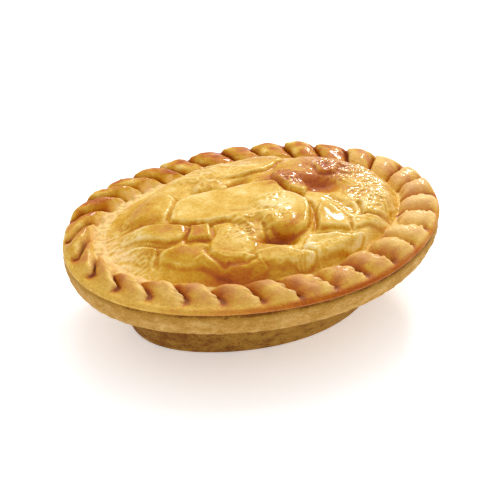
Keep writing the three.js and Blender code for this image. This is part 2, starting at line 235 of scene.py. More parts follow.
def stitch(upper: Array, lower: Array, first_up: int, first_down: int) -> list[tuple[int, ...]]:
    """Faces between two rings: squares where they have as many points, or else triangles.

    Args:
        upper: Turns of the upper or inner ring's points.
        lower: Turns of the lower or outer ring's points.
        first_up: Number of the upper ring's first point.
        first_down: Number of the lower ring's first point.

    Returns:
        Corner numbers of each face, facing out.
    """
    ups, downs = len(upper), len(lower)
    if ups == downs and ups > 1:
        steps = [(step, (step + 1) % ups) for step in range(ups)]
        return [(first_up + a, first_down + a, first_down + b, first_up + b) for a, b in steps]
    faces: list[tuple[int, ...]] = []
    next_up = [*upper[1:].tolist(), 1.0, math.inf] if ups > 1 else [math.inf]
    next_down = [*lower[1:].tolist(), 1.0, math.inf] if downs > 1 else [math.inf]
    up = down = 0
    while next_up[up] < math.inf or next_down[down] < math.inf:
        here = (first_up + up % ups, first_down + down % downs)
        if next_down[down] <= next_up[up]:
            down += 1
            faces.append((*here, first_down + down % downs))
        else:
            up += 1
            faces.append((*here, first_up + up % ups))
    return faces


def even_turns(count: int) -> Array:
    """Turns of that many evenly spaced points."""
    return np.arange(count) / count


def bezier(*corners: tuple[float, float], count: int) -> Array:
    """Points of a cubic curve.

    Args:
        corners: Its first point, the two that it is pulled to, and its last.
        count: How many points it gets.

    Returns:
        One row for each point.
    """
    share = np.linspace(0, 1, count)[:, None]
    a, b, c, d = (np.array(corner) for corner in corners)
    rest = 1 - share
    return rest**3 * a + 3 * rest**2 * share * b + 3 * rest * share**2 * c + share**3 * d


@dataclass(frozen=True)
class Oval:
    """The rim's outline at the seam, hand-cut and a little blunt at the right-hand end.

    Attributes:
        half_length: Half the oval's length.
        half_width: Half its width.
        blunt_end: How much shorter the right-hand end is.
        blunt_focus: Higher keeps that closer to the end.
        wander: How far the edge strays from the oval.
        samples: How many places round it its length is measured by.
    """

    half_length: float = 70.0
    half_width: float = 53.0
    blunt_end: float = 1.3
    blunt_focus: int = 4
    wander: float = 0.35
    samples: int = 2881

    def lengths(self) -> tuple[Array, Array]:
        """Measures the plain oval.

        Returns:
            Angles round it, and the length of edge up to each of them.
        """
        angles = np.linspace(0, 2 * np.pi, self.samples)
        edge = np.stack([self.half_length * np.cos(angles), self.half_width * np.sin(angles)], axis=1)
        steps = np.hypot(*np.diff(edge, axis=0).T)
        return angles, np.concatenate([[0.0], np.cumsum(steps)])

    def perimeter(self) -> float:
        """Length of the whole edge."""
        return float(self.lengths()[1][-1])

    def points(self, turn: Array, inset: Array | float) -> Array:
        """Plan points inside the outline.

        Args:
            turn: How far round each point is, measured along the edge.
            inset: How far inside the edge it is.

        Returns:
            One row of x and y for each point.
        """
        angles, lengths = self.lengths()
        angle = np.interp(np.mod(turn, 1.0) * lengths[-1], lengths, angles)
        out = np.stack([np.cos(angle) / self.half_length, np.sin(angle) / self.half_width], axis=-1)
        out /= np.linalg.norm(out, axis=-1, keepdims=True)
        blunt = self.blunt_end * np.maximum(np.cos(angle), 0) ** self.blunt_focus
        stray = self.wander * (np.sin(3 * angle + 1) + np.sin(5 * angle + 2.4))
        edge = np.stack([self.half_length * np.cos(angle), self.half_width * np.sin(angle)], axis=-1)
        return edge + out * (stray - blunt - inset)[..., None]


@dataclass(frozen=True)
class Chunk:
    """An oval patch of the lid in plan: a hollow, or a browned, wrinkled or pale place.

    Attributes:
        x: Its middle along the pie.
        y: Its middle across the pie.
        length: Half its own length.
        width: Half its own width.
        turn: Degrees that its length is turned from the pie's.
        size: Depth or strength.
        squareness: Higher makes its outline squarer.
    """

    x: float
    y: float
    length: float
    width: float
    turn: float
    size: float
    squareness: float = 2.3

    def reach(self, x: Array, y: Array) -> Array:
        """How far out places lie in the patch.

        Args:
            x: Places along X.
            y: Places along Y.

        Returns:
            0 at its middle, 1 on its edge.
        """
        turn = math.radians(self.turn)
        along = (x - self.x) * math.cos(turn) + (y - self.y) * math.sin(turn)
        across = (y - self.y) * math.cos(turn) - (x - self.x) * math.sin(turn)
        powers = np.abs(along / self.length) ** self.squareness
        powers = powers + np.abs(across / self.width) ** self.squareness
        return powers ** (1 / self.squareness)

    def spot(self, x: Array, y: Array, steepness: float = 2.0) -> Array:
        """A soft-edged spot of the patch's size and strength."""
        return self.size * np.exp(-(self.reach(x, y) ** steepness))


@dataclass(frozen=True)
class Plate:
    """A flap or lump of the lid with straight sides in plan, taken anticlockwise.

    Attributes:
        rise: Its height.
        sides: For each side its first corner's x and y, and how wide its slope is.
        lip: How much its rounded edge stands over its middle, as a share of its height.
        lip_place: How far inside a side that edge is, in widths of its slope.
        lip_width: Half the edge's width, over half the slope's.
    """

    rise: float
    sides: tuple[tuple[float, float, float], ...]
    lip: float = 0.06
    lip_place: float = 0.8
    lip_width: float = 0.8

    def relief(self, x: Array, y: Array) -> Array:
        """Height of the plate.

        Args:
            x: Plan places along X.
            y: Plan places along Y.

        Returns:
            The height at each place.
        """
        share = np.ones(np.shape(x))
        edge = np.zeros(np.shape(x))
        for (ax, ay, slope), (bx, by, _) in zip(self.sides, (*self.sides[1:], self.sides[0])):
            length = math.hypot(bx - ax, by - ay)
            inside = ((bx - ax) * (y - ay) - (by - ay) * (x - ax)) / length
            share = share * smooth(inside, -0.5 * slope, 0.5 * slope)
            from_lip = (inside - self.lip_place * slope) / (0.5 * slope + self.lip_width)
            edge = np.maximum(edge, np.exp(-(from_lip**2)))
        return self.rise * share * (1 + self.lip * edge)


@dataclass(frozen=True)
class Crease:
    """A narrow fold line in the lid that fades out at its ends.

    Attributes:
        depth: Its depth.
        path: Corners that it runs through, in plan.
        width: Half its width.
        fade: How long its ends are.
        overrun: Share of that length by which they run past the path.
    """

    depth: float
    path: tuple[tuple[float, float], ...]
    width: float = 0.9
    fade: float = 2.5
    overrun: float = 0.4

    def drop(self, x: Array, y: Array) -> Array:
        """How far the lid sinks into it.

        Args:
            x: Plan places along X.
            y: Plan places along Y.

        Returns:
            The depth at each place.
        """
        nearest = np.full(np.shape(x), np.inf)
        along = np.zeros(np.shape(x))
        before = 0.0
        for (ax, ay), (bx, by) in zip(self.path, self.path[1:]):
            length = math.hypot(bx - ax, by - ay)
            share = np.clip(((x - ax) * (bx - ax) + (y - ay) * (by - ay)) / length**2, 0, 1)
            away = np.hypot(x - ax - share * (bx - ax), y - ay - share * (by - ay))
            along = np.where(away < nearest, before + share * length, along)
            nearest = np.minimum(nearest, away)
            before += length
        past = self.overrun * self.fade
        ends = span(along, -past, self.fade, before - self.fade, before + past)
        return self.depth * ends * np.exp(-((nearest / self.width) ** 2))


PLATES = (
    # left back flap, left ridge, left front flap
    Plate(
        4.2,
        ((-48, 11, 8), (-34.5, 2.5, 2.0), (-24.5, 14, 2.2), (-24.5, 19, 4), (-31, 25, 6), (-41, 29, 8)),
    ),
    Plate(
        4.1,
        (
            (-52, 3, 4), (-46, -2, 2.2), (-38, -9.5, 3), (-31.5, -9.5, 4),
            (-27, -4.5, 3), (-36, 1.5, 2.2), (-48, 7, 5),
        ),
    ),
    Plate(
        4.0,
        ((-57, 4, 8), (-54, -7, 6), (-46.5, -14, 2.0), (-41, -10.5, 2.2), (-42, -7.5, 3), (-48, -1.5, 3)),
    ),
    # ground at the left front, front flap, middle front fold, square chunk
    Plate(
        3.6,
        (
            (-47, -13, 6), (-38, -24, 7), (-26, -31, 6), (-20, -32, 5),
            (-25, -20, 6), (-30, -11, 5), (-38, -9, 4),
        ),
    ),
    Plate(
        3.9,
        ((-38, -19, 6), (-34, -27, 6), (-22, -36, 5), (-14, -35, 2.2), (-14.5, -29.5, 2.4), (-28, -20, 3)),
    ),
    Plate(
        4.0,
        (
            (-29, -16.5, 2), (-29, -22, 2.2), (-26.5, -26, 2.4), (-21, -29.5, 3),
            (-14, -27, 9), (-11, -16, 10), (-18, -8, 9), (-24, -12, 4),
        ),
    ),
    Plate(4.5, ((-32.5, -12, 2.2), (-26, -16, 2.0), (-22.5, -8, 2.2), (-30, -5, 2.4))),
    # front ridge, right front ridge, middle fold
    Plate(
        4.3,
        (
            (-17.5, -33, 5), (-9, -37, 5), (0, -38, 3), (4, -36, 2.2),
            (2, -33, 2.2), (-0.5, -31.5, 3.2), (-8, -28, 3.2), (-16.5, -27, 4),
        ),
    ),
    Plate(
        4.0,
        (
            (-1, -36, 5), (9, -38.5, 4), (22, -35, 3), (26, -31, 2.6),
            (22, -29.8, 2.4), (7, -25.8, 3), (0, -30, 4),
        ),
    ),
    Plate(
        5.1,
        (
            (-7, -17, 4), (-2, -22, 3.5), (4, -24.5, 3.5), (8, -23, 3.2),
            (13.5, -15.5, 2.6), (14.5, -8, 2.6), (10.5, 2, 8), (-6, 3, 12),
        ),
    ),
    # middle plateau, back left lump, back ridge, blister, browned bump
    Plate(
        4.1,
        (
            (-34, 2, 2.2), (-22, -7, 5), (-8, -13, 10), (12, -6, 5), (13, 2, 2.4),
            (10.5, 9, 2.2), (4.5, 10.5, 2.4), (-22, 14, 5), (-30, 12, 5),
        ),
    ),
    Plate(
        4.9,
        ((-19, 14, 6), (-9, 9.5, 2.4), (-5.5, 11.5, 2.2), (-5, 16, 3), (-8.5, 21.5, 6), (-15, 23, 7)),
    ),
    Plate(
        4.0,
        (
            (-22, 26, 9), (-4, 18.5, 4), (7, 17, 3.4), (15, 18, 5),
            (27, 25, 6), (27, 36, 6), (13, 43, 6), (-5, 42, 6),
        ),
    ),
    Plate(
        4.9,
        (
            (10.5, 10, 2.4), (13, 1, 2.4), (16, -5.5, 3), (20, -1, 2.4),
            (22.5, 9, 3), (20.5, 14, 4), (15, 15.5, 4),
        ),
    ),
    Plate(4.7, ((27.5, 7, 4), (34.5, 4, 4), (41, 8, 5), (43, 15, 6), (37, 20, 6), (30.5, 16, 4))),
    # ground at the right, wrinkled flap, wedge, tongue, right edge
    Plate(
        3.5,
        (
            (14, -26, 5), (34, -29, 6), (50, -21, 6), (57, -4, 6), (56, 10, 7),
            (46, 24, 7), (30, 28, 7), (18, 22, 7), (14, 0, 6),
        ),
    ),
    Plate(4.3, ((28, -22.5, 2.2), (38, -25, 3.5), (47, -19, 6), (48, -12, 7), (40, -8, 7), (32.5, -13, 3))),
    Plate(
        4.2,
        (
            (9.5, -24.5, 2.6), (20, -28, 3), (22.5, -23.5, 2.2),
            (21.5, -12.5, 2.4), (20, -10.5, 3), (14, -17, 3),
        ),
    ),
    Plate(
        4.0,
        (
            (20, -28.5, 3), (31, -29.5, 4), (39.5, -26.5, 3),
            (38, -25, 2.2), (28, -22.5, 2.2), (23, -22.5, 3),
        ),
    ),
    Plate(3.9, ((36, 2, 8), (54, -2, 6), (56, 8, 7), (46, 22, 6), (36, 26, 7), (28, 18, 8))),
)

HOLLOWS = (
    Chunk(-4.5, -23.0, 6.5, 3.2, -15, 4.6),
    Chunk(-1, 14.5, 6.0, 2.2, 8, 2.2),
    Chunk(25.5, 0.5, 7.5, 5.0, -28, 3.6),
    Chunk(25.5, -15.5, 2.2, 5.5, 10, 1.0),
)

CREASES = (
    Crease(1.0, ((-30.3, -17.5), (-29.6, -23), (-26.5, -27.5), (-20, -30.5), (-15, -30))),
    Crease(0.7, ((-50.5, 2), (-46.3, -2.8), (-42, -7), (-37, -10.5))),
    Crease(0.8, ((-46.8, -14.8), (-43.5, -12.6), (-40.2, -10.2))),
    Crease(0.6, ((-48, 8.5), (-42.5, 6.7), (-35, 1.6), (-27, -3.8), (-21.8, -7.4), (-16, -8.5), (-11, -7))),
    Crease(0.6, ((-31, -14), (-33.2, -12), (-30.5, -4.2), (-22, -7.4), (-25, -15.5))),
    Crease(1.0, ((-5.5, -14), (-7.5, -18), (-7.5, -22)), 1.1),
    Crease(1.1, ((16, -8), (14.9, -15.5), (10.6, -22.3), (7.5, -25.2)), 1.0),
    Crease(0.8, ((7.5, -25.2), (14.5, -28), (21, -30), (25, -31))),
    Crease(0.8, ((21, -10.5), (22.3, -16), (23.2, -23), (20.5, -28.5))),
    Crease(0.9, ((32, -14), (27.5, -22), (33, -24.3), (40, -26))),
    Crease(0.7, ((4.5, 12), (11, 10.8), (13.2, 1), (16, -7))),
    Crease(0.5, ((-13, -3), (-4, -6), (2, -13), (1, -19)), 1.2),
    Crease(0.6, ((3.5, -38.5), (3.2, -34.5), (0.2, -30.8)), 1.0),
    Crease(0.6, ((-34.5, 2.5), (-29.5, 8), (-24.5, 14), (-24.8, 19))),
)

WRINKLED = (
    Chunk(-1, 30, 16, 8, 5, 0.22),
    Chunk(-3, -34, 12, 4, -5, 0.2),
    Chunk(17, -31, 10, 4, 5, 0.1),
    Chunk(-10, -14.5, 9, 5, 31, 0.55),
    Chunk(38, -15, 11, 8, 20, 0.5),
    Chunk(16, 6, 6, 5, 70, 0.5),
    Chunk(4, -7, 9, 4, 70, 0.3),
    Chunk(44, 6, 10, 12, 0, 0.45),
    Chunk(-12, 17, 6, 5, 0, 0.25),
    Chunk(33, 12, 8, 6, 0, 0.35),
)

DULL_WRINKLED = Chunk(-53, 4, 7, 16, 0, 0.7)

BROWNED_AND_SHADED = (
    # the left: flap, ridge, small flap and ground
    Chunk(-36, 16, 9, 7, 35, 0.16),
    Chunk(-33, -4, 8, 4, -40, 0.16),
    Chunk(-44, -9, 7, 4, -50, 0.16),
    Chunk(-35, -16, 8, 5, -30, 0.18),
    # the front: the slope down to the crimps, partly painted shade, and the ridges
    Chunk(-28, -31, 13, 5, -25, 0.4),
    Chunk(-8, -38, 12, 3, -5, 0.16),
    Chunk(-27.5, -10.5, 5, 4, -20, 0.16),
    # the middle: fold, its hollow, and the hollow behind, darkened with painted shade
    Chunk(-4.5, -24, 6.5, 3.2, -15, 0.5),
    Chunk(5, -20, 6, 4, 20, 0.14),
    Chunk(0, 14.5, 7, 3.0, 5, 0.24),
    # the right of the back
    Chunk(17, 7, 7, 7, 80, 0.26),
    Chunk(12, 12, 5, 4, 0, 0.24),
    Chunk(26, 2.5, 9.5, 7, -28, 0.4),
    Chunk(33, 12, 10, 8, -40, 0.3),
    Chunk(40, 22, 12, 6, -40, 0.2),
    Chunk(26, -15, 3, 6, 10, 0.16),
    Chunk(46, 2, 9, 16, 0, 0.16),
    Chunk(6, 33, 20, 6, 3, 0.14),
    Chunk(-9, 20, 5, 4, 20, 0.1),
)

FADED = (
    Chunk(6, -31, 9, 3.5, 3, 0.14),
    Chunk(-10, 5, 16, 8, -10, 0.1),
    Chunk(-54, 4, 7, 18, 0, 0.16),
    Chunk(-30, 36, 18, 4, 22, 0.1),
    Chunk(6, -8, 8, 8, 60, 0.08),
)

FLAKY = (
    Chunk(-55, 6, 6, 15, 8, 0.7),
    Chunk(-33, 34, 20, 5, 22, 0.7),
)

PINK = (
    Chunk(46, 0, 11, 26, 0, 0.3),
    Chunk(34, -26, 12, 6, 0, 0.15),
)


@dataclass(frozen=True)
class LidRelief:
    """What the filling, steam and folding do to the lid's height and colour.

    Attributes:
        plates: Its flaps and lumps.
        hollows: Where it has sunk between them.
        creases: Narrow lines between and across them.
        wrinkled: Where the glaze has wrinkled.
        dull_wrinkled: Where bare pastry has wrinkled.
        browned_and_shaded: Where it is baked darker, and where shade is painted in its hollows and on its
            front slope.
        faded: Where it is paler.
        flaky: Where bare layers show.
        pink: Where its glaze is thin and pinkish.
        base: Height of the lid between them.
        join: Higher keeps the edges between plates sharper.
        hollow_steepness: Higher makes the hollows' sides steeper.
        waviness: How far the plates' sides stray from straight.
        waves_x: The straying along X, coarse and fine.
        waves_y: The straying along Y, coarse and fine.
        swelling: Slow unevenness of the whole lid.
        look_round: How far round a place its slope is measured.
        front_left: The way to the front left, in plan.
        wrinkle_bend: How the wrinkles are bent.
        wrinkle_ridges: How the wrinkles lie.
        wrinkle_squash: How much closer they lie across the pie.
        wrinkle_sharpness: Lower makes their ridges sharper.
        plain_bake: How brown it is elsewhere.
        broad_baking: How that changes over the lid.
        fine_baking: And how it changes from spot to spot.
        crease_bake_and_shade: How much browner a sharp crease is, and darker with painted shade.
        edge_fade_and_highlight: How much paler a sharp edge is, partly as a painted highlight along it.
        slope_bake_and_shade: How much darker a slope of 45 degrees to the front left is: painted shade on
            slopes turned from the key light, with browning where glaze pools.
        slopes: The least and the greatest slope that count.
        plain_glaze: How thick the glaze is where it is smooth.
        pale_share: How much of a flaky or pink patch shows its bare colour.
        flaking: How that changes over a flaky patch.
        blotches: And over a pink patch.
    """

    plates: tuple[Plate, ...] = PLATES
    hollows: tuple[Chunk, ...] = HOLLOWS
    creases: tuple[Crease, ...] = CREASES
    wrinkled: tuple[Chunk, ...] = WRINKLED
    dull_wrinkled: Chunk = DULL_WRINKLED
    browned_and_shaded: tuple[Chunk, ...] = BROWNED_AND_SHADED
    faded: tuple[Chunk, ...] = FADED
    flaky: tuple[Chunk, ...] = FLAKY
    pink: tuple[Chunk, ...] = PINK
    base: float = 2.9
    join: float = 9.0
    hollow_steepness: float = 3.0
    waviness: float = 1.2
    waves_x: tuple[Mottle, Mottle] = (Mottle(1.0, 9.0, 12), Mottle(0.35, 3.5, 14))
    waves_y: tuple[Mottle, Mottle] = (Mottle(1.0, 9.0, 13), Mottle(0.35, 3.5, 15))
    swelling: Mottle = Mottle(0.3, 8.0, 11)
    look_round: float = 0.6
    front_left: tuple[float, float] = (0.47, 0.88)
    wrinkle_bend: Mottle = Mottle(1.4, 6.0, 5)
    wrinkle_ridges: Mottle = Mottle(1.0, 2.2, 6)
    wrinkle_squash: float = 1.3
    wrinkle_sharpness: float = 0.7
    plain_bake: float = 0.3
    broad_baking: Mottle = Mottle(0.09, 9.0, 21)
    fine_baking: Mottle = Mottle(0.06, 3.0, 22)
    crease_bake_and_shade: float = 0.13
    edge_fade_and_highlight: float = 0.18
    slope_bake_and_shade: float = 0.1
    slopes: tuple[float, float] = (-0.4, 1.2)
    plain_glaze: float = 0.4
    pale_share: float = 0.6
    flaking: Mottle = Mottle(0.8, 1.6, 31)
    blotches: Mottle = Mottle(0.8, 2.2, 35)

    def heights(self, x: Array, y: Array) -> Array:
        """Height that all of them add.

        Args:
            x: Plan places along X.
            y: Plan places along Y.

        Returns:
            The height at each place.
        """
        wavy_x = x + self.waviness * sum(wave.on(x, y) for wave in self.waves_x)
        wavy_y = y + self.waviness * sum(wave.on(x, y) for wave in self.waves_y)
        powers = np.full(np.shape(x), self.base**self.join)
        for plate in self.plates:
            powers += plate.relief(wavy_x, wavy_y) ** self.join
        height = powers ** (1 / self.join)
        for hollow in self.hollows:
            height -= hollow.spot(wavy_x, wavy_y, self.hollow_steepness)
        for crease in self.creases:
            height -= crease.drop(wavy_x, wavy_y)
        return height + self.wrinkles(x, y) + self.swelling.on(x, y)

    def survey(self, x: Array, y: Array) -> tuple[Array, Array, Array]:
        """Measures the lid.

        Args:
            x: Plan places along X.
            y: Plan places along Y.

        Returns:
            Its heights, its bend, above 0 in a crease, and how steeply it falls to the front left.
        """
        step = self.look_round
        height = self.heights(x, y)
        sides = ((-step, 0.0), (step, 0.0), (0.0, -step), (0.0, step))
        left, right, front, back = (self.heights(x + dx, y + dy) for dx, dy in sides)
        bend = (left + right + front + back - 4 * height) / step**2
        along, across = self.front_left
        fall = (along * (right - left) + across * (back - front)) / (2 * step)
        return height, bend, fall

    def wrinkles(self, x: Array, y: Array) -> Array:
        """Height that the wrinkles add.

        Args:
            x: Plan places along X.
            y: Plan places along Y.

        Returns:
            The height at each place.
        """
        strength = sum(zone.spot(x, y) for zone in (*self.wrinkled, self.dull_wrinkled))
        bent = self.wrinkle_bend.on(x, y)
        lines = self.wrinkle_ridges.on(x + bent, y * self.wrinkle_squash - bent)
        return strength * (1 - 2 * np.abs(lines) ** self.wrinkle_sharpness)

    def browning_and_shading(self, x: Array, y: Array, bend: Array, fall: Array) -> Array:
        """How brown the lid is.

        Args:
            x: Plan places along X.
            y: Plan places along Y.
            bend: How sharply it bends there, above 0 in a crease.
            fall: How steeply it falls to the front left.

        Returns:
            Its bake, with the shade and light painted on it, from 0 to about 1.
        """
        bake = np.full(np.shape(x), self.plain_bake)
        bake += self.broad_baking.on(x, y) + self.fine_baking.on(x, y)
        # Browned patches; those in the hollows and on the front slope are partly painted shade.
        for patch in self.browned_and_shaded:
            bake += patch.spot(x, y)
        for patch in self.faded:
            bake -= patch.spot(x, y)
        # Creases darken with browning and painted shade; sharp edges pale with a painted highlight.
        bake += self.crease_bake_and_shade * np.clip(bend, 0, 1) - self.edge_fade_and_highlight * np.clip(-bend, 0, 1)
        # Slopes falling to the front left, away from the key light, get painted shade as well as browning.
        return bake + self.slope_bake_and_shade * np.clip(fall, *self.slopes)

    def glaze(self, x: Array, y: Array) -> Array:
        """How thick the egg glaze is, from 0 to 1: thickest where it has wrinkled."""
        return np.clip(self.plain_glaze + sum(zone.spot(x, y) for zone in self.wrinkled), 0, 1)

    def paleness(self, x: Array, y: Array) -> Array:
        """How much bare, flaky or pinkish pastry shows.

        Args:
            x: Plan places along X.
            y: Plan places along Y.

        Returns:
            Shares from 0 to 1.
        """
        flaky = sum(patch.spot(x, y) for patch in self.flaky) * (self.pale_share + self.flaking.on(x, y))
        pink = sum(patch.spot(x, y) for patch in self.pink) * (self.pale_share + self.blotches.on(x, y))
        return np.clip(flaky + pink, 0, 1)


@dataclass(frozen=True)
class CrimpForm:
    """How the rope of crimps stands at some places on the rim.

    Attributes:
        number: Which crimp each place is on.
        phase: How far across it the place is, from its groove, 0, to the next, 1.
        turn: How far round the rim it is.
        front: How much it is at the front.
        across: How far it is from the outer edge, 0, to the valley, 1.
        swell: 1 on a whole crimp, 0 where the crimp has run out at either end.
        rise: Height across the crimp, as a share of its crest's.
        crest: Height of its crest there.
        groove: Depth of its groove there.
        notch: How far the outer edge draws in.
        ahead: How far the crimp rolls forward there, in crimps.
        bare: How much bare pastry shows at its inner end.
        torn: How much it is the torn edge of a cut layer.
        flakes: Relief of those layers.
    """

    number: Array
    phase: Array
    turn: Array
    front: Array
    across: float
    swell: Array
    rise: Array
    crest: Array
    groove: Array
    notch: Array
    ahead: Array
    bare: Array
    torn: Array
    flakes: Array


@dataclass(frozen=True)
class Crimps:
    """Thirty crimps pressed into the rim, like a rope: each rolls forward over the next groove.

    Attributes:
        count: How many there are.
        start: The first groove's outer end, in crimps round from the right-hand end.
        lean: Degrees that a groove leans from the straight way out, at the right.
        lean_swing: How much more it leans at the left.
        lean_most: How far round it leans most, in turns.
        lean_focus: Higher keeps that extra lean closer to the left.
        lean_from: Share of the way to a groove's end at which it starts to lean.
        rim_width: From the seam in to the valley.
        edge_width: Width of the rounded outer edge, below the grooves.
        edge_roundness: Higher makes that edge rounder.
        floor_share: Share of a crimp that is its groove's floor.
        roll: Where the curve across a crimp is pulled to: twice a share across and a height.
        crest_rise: Height of a crest over the edge.
        outer_crest: Share of it at the outer edge.
        inner_crest: How much more of it stands at the valley.
        low_back: Share that the crests are lower at the back.
        end_rounding: Width of a crimp's rounded outer end, against where its groove ends.
        blunt_front: How much slower that end rises at the front.
        plain_band: Share of the wide band in which no crimp stands.
        groove_drop: Depth of a groove under the edge.
        deeper_front: How much deeper it is at the front.
        groove_slope: Half the length over which it deepens.
        groove_fade: How far across the rim it starts to fade.
        groove_end: How far inside the edge a groove ends at the back.
        front_band: How much further in it ends at the front.
        left_band: And how much more at the left of the front.
        tip: Share of the rim's width at which a crimp's inner end lies.
        tip_unevenness: How much that differs.
        tip_rounding: How long its rounding is.
        short_left: How much shorter the crimps are at the left of the back.
        ragged: How their tips stray at the front.
        ragged_steps: How fast that changes from crimp to crimp and across one.
        bare_tip: Shares before and past the tip between which bare pastry starts.
        notch_depth: How far the edge draws in beside each groove.
        stray: How far a groove strays from its even place, as a share of a crimp.
        cut_edge: Where a cut layer's edge starts, is whole, fades and ends, across a crimp.
        layers: How its flakes lie.
        layer_steps: How fast they change from crimp to crimp and across one.
        flake: How far the layers stand out along a crimp's cut edge.
        flake_rise: How far they stand up, against that.
        coarse: Slow unevenness of a crimp's skin.
        fine: And its fine unevenness.
        unevenness: Of the crimps' sizes.
    """

    count: int = 30
    start: float = 0.58
    lean: float = 23.0
    lean_swing: float = 43.0
    lean_most: float = 0.49
    lean_focus: float = 3.5
    lean_from: float = 0.7
    rim_width: float = 14.4
    edge_width: float = 1.7
    edge_roundness: float = 2.4
    floor_share: float = 0.1
    roll: tuple[tuple[float, float], tuple[float, float]] = ((0.03, 1.4), (1.27, 1.46))
    crest_rise: float = 3.2
    outer_crest: float = 0.9
    inner_crest: float = 0.25
    low_back: float = 0.35
    end_rounding: float = 1.4
    blunt_front: float = 1.6
    plain_band: float = 0.3
    groove_drop: float = 1.7
    deeper_front: float = 0.7
    groove_slope: float = 0.7
    groove_fade: float = 0.5
    groove_end: float = 1.9
    front_band: float = 1.4
    left_band: float = 3.4
    tip: float = 0.95
    tip_unevenness: float = 0.05
    tip_rounding: float = 0.3
    short_left: float = 0.24
    ragged: Mottle = Mottle(0.09, 1.0, 8)
    ragged_steps: tuple[float, float] = (3.1, 4.0)
    bare_tip: tuple[float, float] = (0.15, 0.05)
    notch_depth: float = 0.8
    stray: float = 0.07
    cut_edge: tuple[float, float, float, float] = (0.62, 0.8, 0.93, 1.0)
    layers: Mottle = Mottle(1.0, 0.85, 3)
    layer_steps: tuple[float, float] = (5.3, 1.5)
    flake: float = 1.1
    flake_rise: float = 0.6
    coarse: Mottle = Mottle(0.35, 5.0, 33)
    fine: Mottle = Mottle(0.2, 1.6, 34)
    unevenness: float = 0.16

    def form(self, around: Array, inset: float, pitch: float) -> CrimpForm:
        """Works out how the rope stands at some places.

        Args:
            around: Crimps on from the first groove.
            inset: How far inside the edge they are.
            pitch: Width of one crimp at the edge.

        Returns:
            The rope's form there.
        """
        phase = around - np.floor(around)
        number = np.floor(around) % self.count
        turn = (self.start + around) / self.count
        front = FRONT.share(turn)
        across = float(np.clip((inset - self.edge_width) / (self.rim_width - self.edge_width), 0, 1))
        end = self.ends(turn, number)
        tip = self.tips(turn, number, phase)
        swell = self.outer_end(turn, inset, end) * arch((tip - across) / self.tip_rounding)
        bare_from, bare_to = self.bare_tip
        bare = smooth(across, tip - bare_from, tip + bare_to) * BARE_LEFT.share(turn)
        place, rise = self.section(phase)
        place = place + self.straying(number, phase)
        size = (1 + self.unevenness * uneven(number, Purpose.SIZE)) * (1 - self.low_back * BACK.share(turn))
        crest = self.crest_rise * size * swell * (self.outer_crest + self.inner_crest * across)
        torn = front * span(phase, *self.cut_edge) * swell
        by_crimp, by_phase = self.layer_steps
        flakes = self.layers.at(np.full(phase.shape, inset), number * by_crimp, phase * by_phase)
        depth = self.groove_drop + self.deeper_front * front
        groove = depth * smooth(inset, end - self.groove_slope, end + self.groove_slope)
        groove = groove * (1 - smooth(across, self.groove_fade, 1))
        inward = np.sin(np.pi * np.clip(inset / (2 * end), 0, 1))
        notch = self.notch_depth * (1 - np.minimum(rise, 1)) * inward
        ahead = (place - phase) * swell + self.flake / pitch * flakes * torn
        return CrimpForm(
            number, phase, turn, front, across, swell, rise, crest, groove, notch, ahead, bare, torn, flakes
        )

    def section(self, phase: Array) -> tuple[Array, Array]:
        """The curve across a crimp, from its groove over its crest to the next groove.

        Args:
            phase: How far along the curve, from 0 to 1.

        Returns:
            The place across the crimp, in crimps, and the height, as a share of a crest's.
        """
        past = np.clip((phase - self.floor_share) / (1 - self.floor_share), 0, 1)
        back = 1 - past
        (near, near_rise), (far, far_rise) = self.roll
        ahead = 3 * back**2 * past * near + 3 * back * past**2 * far + past**3
        rise = 3 * back**2 * past * near_rise + 3 * back * past**2 * far_rise
        place = np.where(phase < self.floor_share, phase, self.floor_share + (1 - self.floor_share) * ahead)
        return place, rise

    def straying(self, number: Array, phase: Array) -> Array:
        """How far each place moves round, in crimps, as the grooves on its two sides stray."""
        before, after = (uneven(each, Purpose.STRAY) for each in (number, (number + 1) % self.count))
        return self.stray * ((1 - phase) * before + phase * after)

    def band(self, turn: Array) -> Array:
        """How much further inside the edge the grooves end at the front."""
        return self.front_band * WIDE_BAND.share(turn) + self.left_band * WIDEST_BAND.share(turn)

    def ends(self, turn: Array, number: Array) -> Array:
        """How far inside the edge each groove ends."""
        differing = 1 + self.unevenness * uneven(number, Purpose.GROOVE_END)
        return (self.groove_end + self.band(turn)) * differing

    def outer_end(self, turn: Array, inset: float, end: Array) -> Array:
        """How whole the crimps are near the outer edge.

        Args:
            turn: How far round the rim.
            inset: How far inside the edge.
            end: How far inside it the grooves end.

        Returns:
            0 on the plain band, 1 on a whole crimp.
        """
        plain = self.plain_band * self.band(turn)
        bluntness = 1 + self.blunt_front * FRONT.share(turn)
        return arch((inset - plain) / (self.end_rounding * end - plain)) ** bluntness

    def tips(self, turn: Array, number: Array, phase: Array) -> Array:
        """Where the crimps' inner ends lie.

        Args:
            turn: How far round the rim.
            number: Which crimp.
            phase: How far across it.

        Returns:
            Shares of the rim's width.
        """
        by_crimp, by_phase = self.ragged_steps
        ragged = self.ragged.at(number * by_crimp, phase * by_phase, 0 * phase)
        tip = self.tip - self.short_left * BACK_LEFT.share(turn)
        return tip + self.tip_unevenness * uneven(number, Purpose.TIP) + FRONT.share(turn) * ragged

    def leaning(self, turn: Array, inset: float, pitch: float) -> Array:
        """How far round a groove has moved by some inset.

        Args:
            turn: How far round the rim.
            inset: How far inside the edge.
            pitch: Width of one crimp at the edge.

        Returns:
            The move, in crimps.
        """
        left = (0.5 + 0.5 * np.cos(2 * np.pi * (turn - self.lean_most))) ** self.lean_focus
        past_end = np.maximum(inset - self.lean_from * (self.groove_end + self.band(turn)), 0)
        return -np.tan(np.radians(self.lean + self.lean_swing * left)) * past_end / pitch


